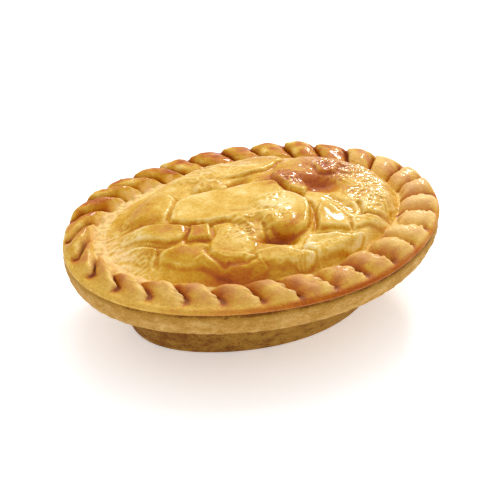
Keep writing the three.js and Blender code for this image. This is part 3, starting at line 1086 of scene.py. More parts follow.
@dataclass(frozen=True)
class CrimpFinish:
    """How the crimps are browned, torn and glazed.

    Attributes:
        plain_bake: How brown they are at least.
        groove_bake_and_shade: How much browner a groove is, partly painted shade in it.
        groove_bake_and_shade_front: And how much more at the front, also partly painted shade.
        groove_focus: Higher keeps that brown and shade closer to a groove's floor.
        full_depth: Depth from which a groove is wholly brown and shaded.
        swell_bake: How much browner a crimp is than the band beside it.
        blush_bake: How much browner its near side is.
        blush: Where that side starts, is whole, fades and ends, across a crimp.
        seam_bake_and_shade: How much browner the edge over the seam is, partly painted shade where lid meets
            case.
        seam_line: Insets between which that brown fades.
        band_bake: How much browner the plain band is at the front.
        right_fade_and_light: How much paler the right-hand end is, partly painted light on the side towards
            the key lamp.
        number_bake: How much the crimps differ.
        streaks: How their colour changes over the rim.
        cross_streaks: And how it changes across each crimp.
        cross_steps: How fast it does with the inset, from crimp to crimp and across one.
        bare_bake: How brown bare pastry is.
        bare_share: How much of it shows.
        crumbs: How crumbly it is.
        torn_share: How much a torn edge shows its layers.
        torn_change: How much its flakes change that.
        band_tan: How much paler the plain band is at the front.
        band_cover: Share of that paleness that the crimps hide.
        crest_tan: How much paler the crests are at the front.
        crest_focus: Higher keeps that closer to the crests.
        right_tan_and_light: How much paler the right-hand end is, partly thin pinkish glaze and partly
            painted light from the key lamp.
        right_band: Share of that paleness between the crimps.
        plain_glaze: How thick the glaze is on the band.
        swell_glaze: How much thicker it is on a crimp.
        back_glaze: And how much more at the back.
    """

    plain_bake: float = 0.27
    groove_bake_and_shade: float = 0.5
    groove_bake_and_shade_front: float = 0.3
    groove_focus: float = 1.5
    full_depth: float = 1.4
    swell_bake: float = 0.05
    blush_bake: float = 0.27
    blush: tuple[float, float, float, float] = (0.1, 0.2, 0.5, 0.8)
    seam_bake_and_shade: float = 0.4
    seam_line: tuple[float, float] = (0.3, 1.7)
    band_bake: float = 0.12
    right_fade_and_light: float = 0.09
    number_bake: float = 0.07
    streaks: Mottle = Mottle(0.16, 3.2, 36)
    cross_streaks: Mottle = Mottle(0.14, 1.0, 37)
    cross_steps: tuple[float, float, float] = (0.4, 3.7, 6.0)
    bare_bake: float = 0.12
    bare_share: float = 0.5
    crumbs: Mottle = Mottle(1.0, 1.3, 32)
    torn_share: float = 0.7
    torn_change: float = 0.6
    band_tan: float = 0.2
    band_cover: float = 0.8
    crest_tan: float = 0.24
    crest_focus: int = 5
    right_tan_and_light: float = 0.4
    right_band: float = 0.4
    plain_glaze: float = 0.04
    swell_glaze: float = 0.12
    back_glaze: float = 0.2

    def marks(self, form: CrimpForm, inset: float, x: Array, y: Array) -> dict[str, Array]:
        """Marks for the finish at some places on the rim.

        Args:
            form: The rope's form there.
            inset: How far inside the edge they are.
            x: Plan places along X.
            y: Plan places along Y.

        Returns:
            How baked and shaded, how pale and lit, and how glazed each place is.
        """
        # The line over the seam is partly browning and partly painted shade where lid meets case.
        by_shaded_seam = (1 - smooth(inset, *self.seam_line)) * SEAM_BROWN_AND_SHADE.share(form.turn)
        bare = form.bare * (self.bare_share + self.crumbs.on(x, y))
        torn = form.torn * (self.torn_share + self.torn_change * form.flakes)
        glaze = self.swell_glaze * form.swell + self.back_glaze * (1 - form.front) * form.swell
        return {
            "bake": self.browning_and_shading(form, by_shaded_seam, inset, x, y),
            "pale": np.clip(torn + bare + self.tan(form, by_shaded_seam), 0, 1),
            "glaze": self.plain_glaze + glaze,
        }

    def browning_and_shading(self, form: CrimpForm, by_shaded_seam: Array, inset: float, x: Array, y: Array) -> Array:
        """How brown the rim is.

        Args:
            form: The rope's form.
            by_shaded_seam: How much each place is on the line over the seam that is brown and painted with
                shade.
            inset: How far inside the edge they are.
            x: Plan places along X.
            y: Plan places along Y.

        Returns:
            The bake, with painted shade in its grooves and along the seam and painted light at its right-hand
            end, from 0 to about 1.
        """
        front, swell, right = form.front, form.swell, RIGHT.share(form.turn)
        # Grooves darken with browning and with painted shade that grows with their depth.
        low = np.clip(1 - form.rise, 0, 1) ** (self.groove_focus + front)
        low = low * np.minimum(form.groove + form.crest, self.full_depth) / self.full_depth
        bake = self.plain_bake + (self.groove_bake_and_shade + self.groove_bake_and_shade_front * front) * low
        bake += self.swell_bake * swell * (1 - front)
        bake += self.blush_bake * swell * span(form.phase, *self.blush) + self.seam_bake_and_shade * by_shaded_seam
        # The right-hand end is paler, partly painted light from the key lamp.
        bake += self.band_bake * front * (1 - right) * (1 - swell) - self.right_fade_and_light * right
        by_inset, by_crimp, by_phase = self.cross_steps
        inward = np.full(x.shape, by_inset * inset)
        streaks = self.streaks.on(x, y)
        streaks += self.cross_streaks.at(inward, form.number * by_crimp, form.phase * by_phase)
        bake += (self.number_bake * uneven(form.number, Purpose.BAKE) + streaks) * swell
        return bake * (1 - form.bare) + self.bare_bake * form.bare

    def tan(self, form: CrimpForm, by_shaded_seam: Array) -> Array:
        """How pale and thinly glazed the rim is where nothing is torn.

        Args:
            form: The rope's form.
            by_shaded_seam: How much each place is on the line over the seam that is brown and painted with
                shade.

        Returns:
            Shares from 0 up, with painted light at the right-hand end.
        """
        front, swell, right = form.front, form.swell, RIGHT.share(form.turn)
        band = self.band_tan * front * (1 - self.band_cover * swell) * (1 - by_shaded_seam)
        crests = self.crest_tan * front * swell * form.rise**self.crest_focus
        whole = self.right_band + (1 - self.right_band) * swell
        # At the right-hand end: thin pinkish glaze and painted light from the key lamp.
        return band + crests + self.right_tan_and_light * right * whole * np.clip(form.rise, 0, 1) ** 2


class SeamSide(Enum):
    """The two faces at the gap between lid and case, by the way that each stands off its middle."""

    LID = 1
    CASE = -1


@dataclass(frozen=True)
class LidLevels:
    """Heights of the lid above the table, and the face on which it meets the case.

    Attributes:
        seam: Height of the seam.
        seam_gap: Gap between lid and case.
        lip: Height of the lid's upright edge over the seam.
        band: Height of the rim's plain band.
        valley: Height at the crimps' inner ends.
        settle_from: How far across the rim it starts to sink to the valley.
        dome_rise: How high the dome stands over the valley.
        dome_fullness: Higher makes it flatter on top.
        foot_width: Share of the dome over which its lumps fade out.
        wide_left: How much wider that is at the left.
        foot_blend: How far out the dome takes on the rim's own heights.
        seam_rim: How far out the seam's face is flat, as a share of its width.
        seam_rim_inset: How far inside the edge that is.
        seam_dip: How much lower the face is there.
        filling_rise: How high the filling pushes it up in the middle.
        least_tuck: How far the edges at the seam round in at the left, where lid and case have fused.
        front_tuck: How much further they do at the right of the front.
    """

    seam: float = 30.0
    seam_gap: float = 0.08
    lip: float = 0.8
    band: float = 32.0
    valley: float = 31.4
    settle_from: float = 0.4
    dome_rise: float = 5.2
    dome_fullness: float = 3.2
    foot_width: float = 0.1
    wide_left: float = 1.8
    foot_blend: float = 0.9
    seam_rim: float = 0.9
    seam_rim_inset: float = 2.7
    seam_dip: float = 1.2
    filling_rise: float = 4.0
    least_tuck: float = 0.04
    front_tuck: float = 0.56

    def tuck(self, turn: Array) -> Array:
        """How far the edges at the seam round in."""
        return self.least_tuck + self.front_tuck * OPEN_SEAM.share(turn)

    def face_points(self, oval: Oval, turn: Array, out: float, side: SeamSide) -> Array:
        """Points of the face between lid and case.

        Args:
            oval: The rim's outline.
            turn: How far round they are.
            out: How far from the middle, 0, to the edge, 1.
            side: The piece whose face it is.

        Returns:
            The points.
        """
        rim = 1 - self.seam_rim
        inset = self.seam_rim_inset * min((1 - out) / rim, 1.0)
        spread = min(out / self.seam_rim, 1.0)
        plan = oval.points(turn, inset) * spread
        height = self.seam - self.seam_dip * smooth(1 - out, 0, rim) + self.filling_rise * (1 - spread**2)
        return np.column_stack([plan, np.full(len(plan), float(height) + side.value * self.seam_gap / 2)])


SEAM_RINGS = (0.97, 0.9, 0.6, 0.3, 0.0)


@dataclass
class PastryLid:
    """The top crust, from its dome out over the crimps to the seam.

    Attributes:
        oval: The rim's outline.
        crimps: The rope of crimps.
        finish: The crimps' browning.
        relief: The dome's lumps and creases.
        levels: Its heights.
        crumb_rise: Height of the crumbs on bare pastry.
        lip_bake: How brown its upright edge is.
        lip_browning_and_shade: How much browner that is at the right of the front, partly painted shade at
            the seam.
        lip_pale: How much of its bare colour shows.
        lip_glaze: How thick its glaze is.
        under_bake: How brown its underside is.
        dome_rings: Fineness of the dome.
        dome_columns: Points round the dome's edge.
        crimp_columns: Points across one crimp.
        crimp_rings: Rings from the valley to the band.
        edge_rings: Rings round the outer edge.
        under_columns: Points round the underside.
    """

    oval: Oval
    crimps: Crimps = Crimps()
    finish: CrimpFinish = CrimpFinish()
    relief: LidRelief = LidRelief()
    levels: LidLevels = LidLevels()
    crumb_rise: float = 0.45
    lip_bake: float = 0.36
    lip_browning_and_shade: float = 0.46
    lip_pale: float = 0.2
    lip_glaze: float = 0.05
    under_bake: float = 0.3
    dome_rings: int = 110
    dome_columns: int = 700
    crimp_columns: int = 24
    crimp_rings: int = 64
    edge_rings: int = 5
    under_columns: int = 96

    def crimp_points(self, around: Array, inset: float) -> tuple[Array, dict[str, Array]]:
        """Points on top of the crimped rim.

        Args:
            around: Crimps on from the first groove.
            inset: How far inside the edge they are.

        Returns:
            The points, and the marks for their finish.
        """
        c, levels = self.crimps, self.levels
        pitch = self.oval.perimeter() / c.count
        form = c.form(around, inset, pitch)
        moved = form.turn + (c.leaning(form.turn, inset, pitch) + form.ahead) / c.count
        plan = self.oval.points(moved, inset + form.notch)
        x, y = plan.T
        settled = levels.band + (levels.valley - levels.band) * smooth(form.across, levels.settle_from, 1)
        height = settled - self.edge_fall(inset) + form.crest * form.rise
        height -= form.groove * np.maximum(1 - form.rise, 0)
        height += c.flake_rise * c.flake * form.flakes * form.torn
        height += form.swell * (c.coarse.on(x, y) + c.fine.on(x, y))
        height += self.crumb_rise * form.bare * self.finish.crumbs.on(x, y)
        return np.column_stack([plan, height]), self.finish.marks(form, inset, x, y)

    def edge_fall(self, inset: float) -> float:
        """How far the rounded outer edge has fallen from the band.

        Args:
            inset: How far inside the edge.

        Returns:
            The fall: 0 from the edge's width on.
        """
        roundness = self.crimps.edge_roundness
        past = (1 - min(inset / self.crimps.edge_width, 1)) ** roundness
        return (self.levels.band - self.levels.seam - self.levels.lip) * (1 - (1 - past) ** (1 / roundness))

    def dome_points(self, around: Array, out: float) -> tuple[Array, dict[str, Array]]:
        """Points inside the crimps.

        Args:
            around: Crimps on from the first groove.
            out: How far they are from the middle, 0, to the crimps, 1.

        Returns:
            The points, and the marks for their finish.
        """
        levels = self.levels
        rim, _ = self.crimp_points(around, self.crimps.rim_width)
        x, y = rim[:, 0] * out, rim[:, 1] * out
        rise = levels.dome_rise * (1 - out**levels.dome_fullness)
        turn = (self.crimps.start + around) / self.crimps.count
        foot = levels.foot_width * (1 + levels.wide_left * LEFT.share(turn))
        lumps, bend, fall = self.relief.survey(x, y)
        lumps = lumps * (1 - smooth(out, 1 - foot, 1))
        edge = levels.valley + (rim[:, 2] - levels.valley) * smooth(out, levels.foot_blend, 1)
        height = edge + rise + lumps
        bake = self.relief.browning_and_shading(x, y, bend, fall)
        marks = {"bake": bake, "pale": self.relief.paleness(x, y), "glaze": self.relief.glaze(x, y)}
        return np.column_stack([x, y, height]), marks

    def lip_points(self, turn: Array, down: float) -> Array:
        """Points of the lid's lip.

        Args:
            turn: How far round they are.
            down: How far down it: upright at 0, then rounded under to the seam at 1.

        Returns:
            The points.
        """
        angle = (np.pi / 2) * down
        plan = self.oval.points(turn, self.levels.tuck(turn) * (1 - math.cos(angle)))
        drop = self.levels.lip - self.levels.seam_gap / 2
        height = self.levels.seam + self.levels.lip - drop * math.sin(angle)
        return np.column_stack([plan, np.full(len(plan), height)])

    def build(self) -> bpy.types.Object:
        """Makes the lid's mesh.

        Returns:
            The new object.
        """
        skin = Skin("glazed_lid")
        count = self.crimps.count
        start = self.crimps.start / count
        for ring in range(self.dome_rings):
            out = ring / self.dome_rings
            turns = even_turns(max(round(self.dome_columns * out), 1))
            points, marks = self.dome_points(turns * count, out)
            skin.add(turns, points, **marks)
        turns = even_turns(count * self.crimp_columns)
        for inset in np.linspace(self.crimps.rim_width, 0, self.crimp_rings):
            points, marks = self.crimp_points(turns * count, float(inset))
            skin.add(turns, points, **marks)
        # The lip browns more at the right of the front, partly as painted shade at the seam.
        bake = self.lip_bake + self.lip_browning_and_shade * LIP_BROWN_AND_SHADE.share(turns + start)
        for down in np.linspace(0, 1, self.edge_rings)[1:]:
            points = self.lip_points((self.crimps.start + turns * count) / count, float(down))
            skin.add(turns, points, bake=bake, pale=self.lip_pale, glaze=self.lip_glaze)
        for out in SEAM_RINGS:
            under = even_turns(self.under_columns if out else 1)
            points = self.levels.face_points(self.oval, under + start, out, SeamSide.LID)
            skin.add(under, points, bake=self.under_bake)
        return skin.object()


@dataclass
class PastryCase:
    """The lower crust: a thick pressed flange over a wall that tapers to the foot.

    Attributes:
        oval: The rim's outline.
        levels: The lid's heights.
        seam_inset: How far inside the outline its side is pulled to at the seam.
        flange_bulge: How far its side bulges out.
        bulge_at: How far down the side it does, as a share of it.
        tuck_at: How far down the side starts to tuck in.
        tuck_from: How far in it is there.
        flange_tuck: How far in the flange's lower edge is.
        flange_foot: Height of that edge.
        under_pull: How far in and down the flange's underside sets off.
        wall_pull: How far out and up it comes to the wall from.
        wall_top_inset: How far in the wall starts.
        wall_top: Height at which it does.
        foot_inset: How far in the wall's foot would come to the table.
        foot_radius: Size of the foot's rounding.
        foot_slant: How far out that rounding starts, against its size.
        coarse: Its coarse roughness.
        fine: Its fine roughness.
        rough_squash: How much closer its roughness lies upright.
        smooth_foot: Heights between which the foot gets rough.
        wall_roughness: How rough the wall is, against the flange.
        rough_from: Heights between which the flange's roughness starts.
        smooth_seam: How far under the seam it fades out again.
        plain_bake: How brown it is at least.
        top_bake_and_shade: How much browner it is near the seam, partly painted shade under the lid's edge.
        top_from: Heights between which that starts.
        seam_bake_and_shade: How much browner it is at the seam, where that shows brown, partly painted shade
            under the lid's edge.
        seam_from: Heights between which that starts.
        wall_bake: How much browner the wall is.
        wall_fade: How much less it is so at its lightest.
        rough_bake: How much its roughness changes its colour.
        broad_baking: How its colour changes over it.
        fine_baking: And how it changes from spot to spot.
        side_rings: Rings down the flange's side.
        under_rings: Rings under the flange.
        wall_rings: Rings down the wall.
        foot_rings: Rings round the foot.
        columns: Points round it.
        seam_columns: Points round the face under the lid.
    """

    oval: Oval
    levels: LidLevels = LidLevels()
    seam_inset: float = 0.2
    flange_bulge: float = 0.4
    bulge_at: float = 0.3
    tuck_at: float = 0.85
    tuck_from: float = 0.4
    flange_tuck: float = 2.6
    flange_foot: float = 21.5
    under_pull: tuple[float, float] = (2.5, 0.7)
    wall_pull: tuple[float, float] = (1.4, 2.0)
    wall_top_inset: float = 12.8
    wall_top: float = 19.4
    foot_inset: float = 21.2
    foot_radius: float = 2.4
    foot_slant: float = 0.4
    coarse: Mottle = Mottle(0.26, 2.6, 43)
    fine: Mottle = Mottle(0.16, 1.1, 44)
    rough_squash: float = 1.5
    smooth_foot: tuple[float, float] = (0.5, 4.0)
    wall_roughness: float = 0.4
    rough_from: tuple[float, float] = (18.0, 22.0)
    smooth_seam: float = 3.5
    plain_bake: float = 0.4
    top_bake_and_shade: float = 0.05
    top_from: tuple[float, float] = (26.5, 29.5)
    seam_bake_and_shade: float = 0.5
    seam_from: tuple[float, float] = (27.9, 29.5)
    wall_bake: float = 0.46
    wall_fade: float = 0.1
    rough_bake: float = 0.25
    broad_baking: Mottle = Mottle(0.1, 9.0, 41)
    fine_baking: Mottle = Mottle(0.08, 2.5, 42)
    side_rings: int = 26
    under_rings: int = 16
    wall_rings: int = 24
    foot_rings: int = 8
    columns: int = 600
    seam_columns: int = 150

    def profile(self) -> Array:
        """The case's section, from the seam down to the foot.

        Returns:
            One row of inset and height for each ring.
        """
        top = self.levels.seam - self.levels.seam_gap / 2
        drop = top - self.flange_foot
        lower_edge = (self.flange_tuck, self.flange_foot)
        wall_head = (self.wall_top_inset, self.wall_top)
        side = bezier(
            (self.seam_inset, top),
            (-self.flange_bulge, top - self.bulge_at * drop),
            (self.tuck_from, top - self.tuck_at * drop),
            lower_edge,
            count=self.side_rings,
        )
        under = bezier(
            lower_edge,
            (self.flange_tuck + self.under_pull[0], self.flange_foot - self.under_pull[1]),
            (self.wall_top_inset - self.wall_pull[0], self.wall_top + self.wall_pull[1]),
            wall_head,
            count=self.under_rings,
        )
        wall_foot = (self.foot_inset - self.foot_slant * self.foot_radius, self.foot_radius)
        wall = np.linspace(wall_head, wall_foot, self.wall_rings)
        corner = (self.foot_inset, 0.0)
        table = (self.foot_inset + self.foot_radius, 0.0)
        foot = bezier(wall_foot, corner, corner, table, count=self.foot_rings)
        return np.concatenate([side, under[1:], wall[1:], foot[1:]])

    def ring_points(self, turns: Array, inset: float, height: float) -> tuple[Array, Array]:
        """Points of one ring down its side.

        Args:
            turns: How far round they are.
            inset: How far inside the outline the plain section is.
            height: Their height.

        Returns:
            The points, and the roughness that has moved them.
        """
        x, y = self.oval.points(turns, inset).T
        squashed = np.full(len(x), self.rough_squash * height)
        rough = self.coarse.at(x, y, squashed) + self.fine.at(x, y, squashed)
        flange = self.wall_roughness + (1 - self.wall_roughness) * smooth(height, *self.rough_from)
        strength = smooth(height, *self.smooth_foot) * flange
        near_seam = smooth(height, self.levels.seam - self.smooth_seam, self.levels.seam)
        meeting = (self.levels.tuck(turns) - inset) * near_seam
        plan = self.oval.points(turns, inset + meeting + strength * rough * (1 - near_seam))
        return np.column_stack([plan, np.full(len(plan), height)]), rough

    def build(self) -> bpy.types.Object:
        """Makes the case's mesh.

        Returns:
            The new object.
        """
        skin = Skin("pressed_case")
        for out in reversed(SEAM_RINGS):
            turns = even_turns(self.seam_columns if out else 1)
            skin.add(turns, self.levels.face_points(self.oval, turns, out, SeamSide.CASE))
        turns = even_turns(self.columns)
        for inset, height in self.profile():
            points, rough = self.ring_points(turns, inset, height)
            skin.add(turns, points, bake=self.browning_and_shading(turns, points) + self.rough_bake * rough)
        skin.add(np.zeros(1), np.zeros((1, 3)))
        return skin.object()

    def browning_and_shading(self, turns: Array, points: Array) -> Array:
        """How brown the case is.

        Args:
            turns: How far round each point is.
            points: The points.

        Returns:
            Its bake, with painted shade along the seam, from 0 to about 1.
        """
        x, y, z = points.T
        # Near the seam the flange is browner, partly painted shade under the lid's edge.
        top = smooth(z, *self.top_from)
        wall = 1 - smooth(z, self.wall_top, self.flange_foot)
        by_shaded_seam = smooth(z, *self.seam_from) * FLANGE_BROWN_AND_SHADE.share(turns)
        bake = self.plain_bake + self.top_bake_and_shade * top + self.seam_bake_and_shade * by_shaded_seam
        bake += (self.wall_bake - self.wall_fade * LIGHT_WALL.share(turns)) * wall
        return bake + self.broad_baking.at(x, y, z) + self.fine_baking.at(x, y, z)


def linear(red: int, green: int, blue: int) -> tuple[float, float, float, float]:
    """A screen colour as the shaders want it."""
    shares = [value / 255 for value in (red, green, blue)]
    return (*[(s / 12.92 if s <= 0.04045 else ((s + 0.055) / 1.055) ** 2.4) for s in shares], 1.0)


class Maths(Enum):
    """What a maths node does."""

    ADD = "ADD"
    SUBTRACT = "SUBTRACT"
    MULTIPLY = "MULTIPLY"
    DIVIDE = "DIVIDE"


class Graph:
    """A node tree that is being wired up."""

    def __init__(self, tree: bpy.types.NodeTree) -> None:
        """Starts on that tree."""
        self.tree = tree

    def put(self, socket: bpy.types.NodeSocket, value: object) -> None:
        """Sets or links one socket.

        Args:
            socket: The input.
            value: Its value, or the socket that feeds it.
        """
        if isinstance(value, bpy.types.NodeSocket):
            self.tree.links.new(value, socket)
        else:
            socket.default_value = value

    def feed(self, node: bpy.types.Node, name: str, value: object) -> None:
        """Sets or links the input of that name."""
        self.put(next(item for item in node.inputs if item.name == name), value)

    def node(self, kind: str, **values: object) -> bpy.types.Node:
        """Adds a node.

        Args:
            kind: Its type.
            values: Values or sockets for its inputs, by their names.

        Returns:
            The node.
        """
        node = self.tree.nodes.new(kind)
        for name, value in values.items():
            self.feed(node, name.replace("_", " "), value)
        return node

    def maths(self, operation: Maths, *values: object) -> bpy.types.NodeSocket:
        """Adds a maths node.

        Args:
            operation: What it does.
            values: Its two values or sockets.

        Returns:
            Its result.
        """
        node = self.tree.nodes.new("ShaderNodeMath")
        node.operation = operation.value
        for socket, value in zip(node.inputs, values):
            self.put(socket, value)
        return node.outputs[0]

    def ramp(
        self, share: bpy.types.NodeSocket, stops: list[tuple[float, tuple[float, ...]]]
    ) -> bpy.types.NodeSocket:
        """Adds a colour ramp.

        Args:
            share: What it is read by.
            stops: Its places and colours.

        Returns:
            Its colour.
        """
        node = self.node("ShaderNodeValToRGB", Fac=share)
        elements = node.color_ramp.elements
        while len(elements) < len(stops):
            elements.new(0.5)
        for element, (place, colour) in zip(elements, stops):
            element.position = place
            element.color = colour
        return node.outputs["Color"]

    def mix(self, share: object, one: object, other: object) -> bpy.types.NodeSocket:
        """Mixes two colours.

        Args:
            share: How much of the second colour it takes.
            one: The first colour.
            other: The second colour.

        Returns:
            The mixed colour.
        """
        node = self.tree.nodes.new("ShaderNodeMix")
        node.data_type = "RGBA"
        colours = [socket for socket in node.inputs if socket.type == "RGBA"]
        for socket, value in zip((node.inputs[0], *colours), (share, one, other)):
            self.put(socket, value)
        return next(socket for socket in node.outputs if socket.type == "RGBA")

    def attribute(self, name: str) -> bpy.types.NodeSocket:
        """Reads a mark of the mesh.

        Args:
            name: The mark's name.

        Returns:
            Its value.
        """
        node = self.tree.nodes.new("ShaderNodeAttribute")
        node.attribute_name = name
        return node.outputs["Fac"]


def new_group(name: str, inputs: dict[str, float], outputs: list[str]) -> tuple[bpy.types.NodeTree, Graph]:
    """Starts a shader node group of numbers.

    Args:
        name: Its name.
        inputs: Its inputs, with their usual values.
        outputs: Its outputs.

    Returns:
        The group, and a graph to wire it with.
    """
    tree = bpy.data.node_groups.new(name, "ShaderNodeTree")
    for label, value in inputs.items():
        socket = tree.interface.new_socket(name=label, in_out="INPUT", socket_type="NodeSocketFloat")
        socket.default_value = value
    for label in outputs:
        tree.interface.new_socket(name=label, in_out="OUTPUT", socket_type="NodeSocketFloat")
    return tree, Graph(tree)


@dataclass(frozen=True)
class Grain:
    """Fine crust grain, as one node group that the finishes share.

    Attributes:
        size: Its usual size, in millimetres.
        crumb: How crumbly it usually is.
        squash: How much closer it lies upright.
        broad: Fineness of its broad noise, against its size.
        crumbs: Fineness of its crumbs.
        broad_detail: Detail of the broad noise.
        fine_detail: Detail of the fine noise.
        fine_roughness: Roughness of the fine noise.
        crumb_detail: Detail of the crumbs.
    """

    size: float = 1.5
    crumb: float = 0.5
    squash: float = 1.8
    broad: float = 0.3
    crumbs: float = 1.7
    broad_detail: float = 3.0
    fine_detail: float = 4.0
    fine_roughness: float = 0.65
    crumb_detail: float = 2.0

    def group(self) -> bpy.types.NodeTree:
        """Makes the group: how much browner or paler each place is, and its height.

        Returns:
            The group.
        """
        inputs = {"Size": self.size, "Crumb": self.crumb}
        tree, graph = new_group("crust_grain", inputs, ["Browner", "Height"])
        entry = graph.node("NodeGroupInput")
        place = graph.node("ShaderNodeTexCoord").outputs["Object"]
        place = graph.node("ShaderNodeMapping", Vector=place, Scale=(1.0, 1.0, self.squash)).outputs["Vector"]
        scale = graph.maths(Maths.DIVIDE, 1 / MM, entry.outputs["Size"])
        broad_scale = graph.maths(Maths.MULTIPLY, scale, self.broad)
        crumb_scale = graph.maths(Maths.MULTIPLY, scale, self.crumbs)
        noise = "ShaderNodeTexNoise"
        broad = graph.node(noise, Vector=place, Scale=broad_scale, Detail=self.broad_detail)
        fine = graph.node(noise, Vector=place, Scale=scale, Detail=self.fine_detail)
        graph.feed(fine, "Roughness", self.fine_roughness)
        crumbs = graph.node(noise, Vector=place, Scale=crumb_scale, Detail=self.crumb_detail)
        centred = graph.maths(Maths.SUBTRACT, crumbs.outputs[0], 0.5)
        crumbly = graph.maths(Maths.MULTIPLY, centred, entry.outputs["Crumb"])
        both = graph.maths(Maths.ADD, broad.outputs[0], fine.outputs[0])
        out = graph.node("NodeGroupOutput")
        graph.feed(out, "Browner", graph.maths(Maths.ADD, graph.maths(Maths.SUBTRACT, both, 1.0), crumbly))
        graph.feed(out, "Height", graph.maths(Maths.ADD, fine.outputs[0], crumbly))
        return tree


@dataclass(frozen=True)
class Crust:
    """A pastry finish.

    Attributes:
        name: Its name.
        stops: Colours from pale to dark, with the bake at which each stands.
        bare: Colour where the layers show.
        crumb: How crumbly it looks where it has no glaze.
        grain: Size of its grain, in millimetres.
        mottling: How much the grain changes its colour.
        roughness: Of the crust itself.
        shine: Strength of its own reflection.
        gloss: Roughness of the glaze.
        bump: Depth of its grain, in millimetres.
        glaze_ior: How strongly the glaze bends light.
    """

    name: str
    stops: tuple[tuple[float, tuple[int, int, int]], ...]
    bare: tuple[int, int, int]
    crumb: float
    grain: float
    mottling: float
    roughness: float
    shine: float
    gloss: float
    bump: float
    glaze_ior: float = 1.36

    def material(self, grain: bpy.types.NodeTree) -> bpy.types.Material:
        """Makes the material.

        Args:
            grain: The shared group of crust grain.

        Returns:
            The material.
        """
        material = bpy.data.materials.new(self.name)
        material.use_nodes = True
        graph = Graph(material.node_tree)
        shader = material.node_tree.nodes["Principled BSDF"]
        crust = graph.node("ShaderNodeGroup")
        crust.node_tree = grain
        graph.feed(crust, "Size", self.grain)
        glaze = graph.attribute("glaze")
        dull = graph.maths(Maths.SUBTRACT, 1.0, glaze)
        graph.feed(crust, "Crumb", graph.maths(Maths.MULTIPLY, dull, self.crumb))
        change = graph.maths(Maths.MULTIPLY, crust.outputs["Browner"], self.mottling)
        bake = graph.maths(Maths.ADD, graph.attribute("bake"), change)
        colour = graph.ramp(bake, [(place, linear(*shade)) for place, shade in self.stops])
        colour = graph.mix(graph.attribute("pale"), colour, linear(*self.bare))
        graph.feed(shader, "Base Color", colour)
        graph.feed(shader, "Roughness", self.roughness)
        graph.feed(shader, "Specular IOR Level", self.shine)
        graph.feed(shader, "Coat IOR", self.glaze_ior)
        graph.feed(shader, "Coat Weight", glaze)
        graph.feed(shader, "Coat Roughness", self.gloss)
        bump = graph.node("ShaderNodeBump", Height=crust.outputs["Height"], Strength=1.0)
        graph.feed(bump, "Distance", self.bump * MM)
        graph.feed(shader, "Normal", bump.outputs["Normal"])
        return material


GLAZED = Crust(
    name="glazed_pastry",
    stops=(
        (0.0, (252, 224, 162)),
        (0.15, (242, 207, 120)),
        (0.27, (229, 184, 74)),
        (0.42, (211, 156, 24)),
        (0.6, (196, 116, 2)),
        (0.8, (176, 84, 0)),
        (1.0, (142, 58, 0)),
    ),
    bare=(250, 206, 138),
    crumb=1.3,
    grain=1.5,
    mottling=0.3,
    roughness=0.6,
    shine=0.15,
    gloss=0.11,
    bump=0.4,
)

PRESSED = Crust(
    name="pale_pastry",
    stops=(
        (0.0, (240, 204, 130)),
        (0.25, (214, 170, 96)),
        (0.5, (188, 138, 58)),
        (0.75, (172, 126, 44)),
        (1.0, (124, 72, 12)),
    ),
    bare=(235, 200, 150),
    crumb=1.2,
    grain=1.3,
    mottling=0.4,
    roughness=0.8,
    shine=0.15,
    gloss=0.5,
    bump=0.5,
)


@dataclass(frozen=True)
class SoftLight:
    """A square area light that faces the pie.

    Attributes:
        name: Its name.
        place: Where it stands, in metres.
        size: Its width, in metres.
        power: In watts.
    """

    name: str
    place: tuple[float, float, float]
    size: float
    power: float

    def build(self) -> None:
        """Adds the light."""
        lamp = bpy.data.lights.new(self.name, "AREA")
        lamp.energy, lamp.size = self.power, self.size
        piece = bpy.data.objects.new(self.name, lamp)
        piece.location = self.place
        piece.rotation_mode = "QUATERNION"
        piece.rotation_quaternion = (-Vector(self.place)).to_track_quat("-Z", "Y")
        bpy.context.collection.objects.link(piece)


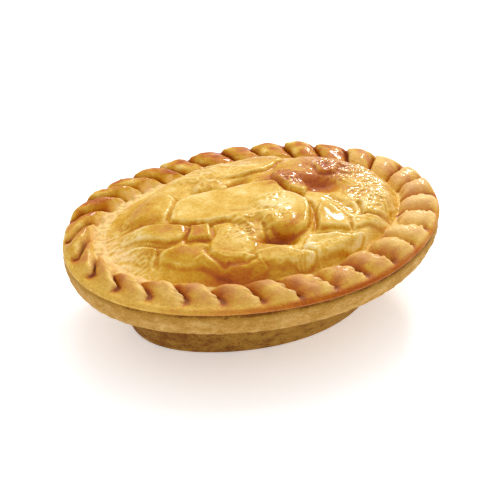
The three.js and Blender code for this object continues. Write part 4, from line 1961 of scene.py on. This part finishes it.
@dataclass(frozen=True)
class Studio:
    """Plain pale floor, soft lights, and a camera where the photograph was taken from.

    Attributes:
        azimuth: Degrees that the camera stands round from the front, to the right.
        elevation: Degrees that it stands up.
        distance: How far it stands from its aim, in millimetres.
        aim: What it points at, in millimetres.
        lens: Its focal length.
        clip: Nearest and furthest that it sees, in metres.
        floor_half: Half the floor's width, in metres.
        floor_drop: How far the floor lies under the pie, in metres.
        floor_white: How white the floor is.
        floor_roughness: How rough it is.
        floor_glow: How much light it gives off.
        surround: Brightness of the world round it.
        lights: The lights.
    """

    azimuth: float = -28.2
    elevation: float = 31.9
    distance: float = 448.8
    aim: tuple[float, float, float] = (1.93, 8.66, 13.75)
    lens: float = 88.52
    clip: tuple[float, float] = (0.01, 20.0)
    floor_half: float = 4.0
    floor_drop: float = 0.0002
    floor_white: float = 0.96
    floor_roughness: float = 0.7
    floor_glow: float = 0.36
    surround: float = 0.78
    lights: tuple[SoftLight, ...] = (
        SoftLight("window", (0.56, 0.5, 0.5), 0.14, 3.4),
        SoftLight("sky", (0.3, 0.5, 1.1), 0.8, 4.0),
    )

    def place_camera(self, shift: Array) -> None:
        """Adds the camera.

        Args:
            shift: From the oval's middle to the frame's origin.
        """
        camera = bpy.data.objects.new("camera", bpy.data.cameras.new("camera"))
        bpy.context.collection.objects.link(camera)
        a, e = math.radians(self.azimuth), math.radians(self.elevation)
        back = Vector((math.sin(a) * math.cos(e), -math.cos(a) * math.cos(e), math.sin(e)))
        aim = (Vector(self.aim) + Vector((*shift, 0))) * MM
        camera.location = aim + back * self.distance * MM
        camera.rotation_mode = "QUATERNION"
        camera.rotation_quaternion = (-back).to_track_quat("-Z", "Y")
        camera.data.lens = self.lens
        camera.data.clip_start, camera.data.clip_end = self.clip
        bpy.context.scene.camera = camera

    def build_floor(self) -> None:
        """Adds the floor."""
        mesh = bpy.data.meshes.new("floor")
        half = self.floor_half
        corners = [(-half, -half, 0), (half, -half, 0), (half, half, 0), (-half, half, 0)]
        mesh.from_pydata(corners, [], [(0, 1, 2, 3)])
        floor = bpy.data.objects.new("floor", mesh)
        floor.location.z = -self.floor_drop
        bpy.context.collection.objects.link(floor)
        material = bpy.data.materials.new("pale_floor")
        material.use_nodes = True
        shader = material.node_tree.nodes["Principled BSDF"]
        shader.inputs["Base Color"].default_value = (self.floor_white, self.floor_white, self.floor_white, 1)
        shader.inputs["Roughness"].default_value = self.floor_roughness
        shader.inputs["Emission Color"].default_value = (1, 1, 1, 1)
        shader.inputs["Emission Strength"].default_value = self.floor_glow
        mesh.materials.append(material)

    def build(self) -> None:
        """Adds the floor, the world and the lights."""
        self.build_floor()
        world = bpy.data.worlds.new("studio")
        world.use_nodes = True
        world.node_tree.nodes["Background"].inputs["Color"].default_value = (1, 1, 1, 1)
        world.node_tree.nodes["Background"].inputs["Strength"].default_value = self.surround
        bpy.context.scene.world = world
        bpy.context.scene.view_settings.view_transform = "Standard"
        for light in self.lights:
            light.build()


def centring(piece: bpy.types.Object) -> Array:
    """How far a piece moves in plan to stand over the frame's origin.

    Args:
        piece: The piece.

    Returns:
        The move along X and Y, in millimetres.
    """
    corners = np.array([list(vertex.co) for vertex in piece.data.vertices])
    low, high = corners.min(axis=0), corners.max(axis=0)
    return -(low + high)[:2] / 2 / MM


def main() -> None:
    """Builds the dressed pie and its studio."""
    logging.basicConfig(level=logging.INFO, format="%(name)s: %(message)s")
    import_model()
    oval = Oval()
    lid = PastryLid(oval).build()
    case = PastryCase(oval).build()
    shift = centring(lid)
    grain = Grain().group()
    for piece, node, finish in ((lid, "pastry_lid", GLAZED), (case, "pastry_case", PRESSED)):
        piece.location = (shift[0] * MM, shift[1] * MM, 0)
        bpy.context.view_layer.update()
        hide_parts(node)
        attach(piece, "root")
        piece.data.materials.append(finish.material(grain))
        log.info("%s has %d faces", piece.name, len(piece.data.polygons))
    studio = Studio()
    studio.place_camera(shift)
    studio.build()


if __name__ == "__main__":
    main()
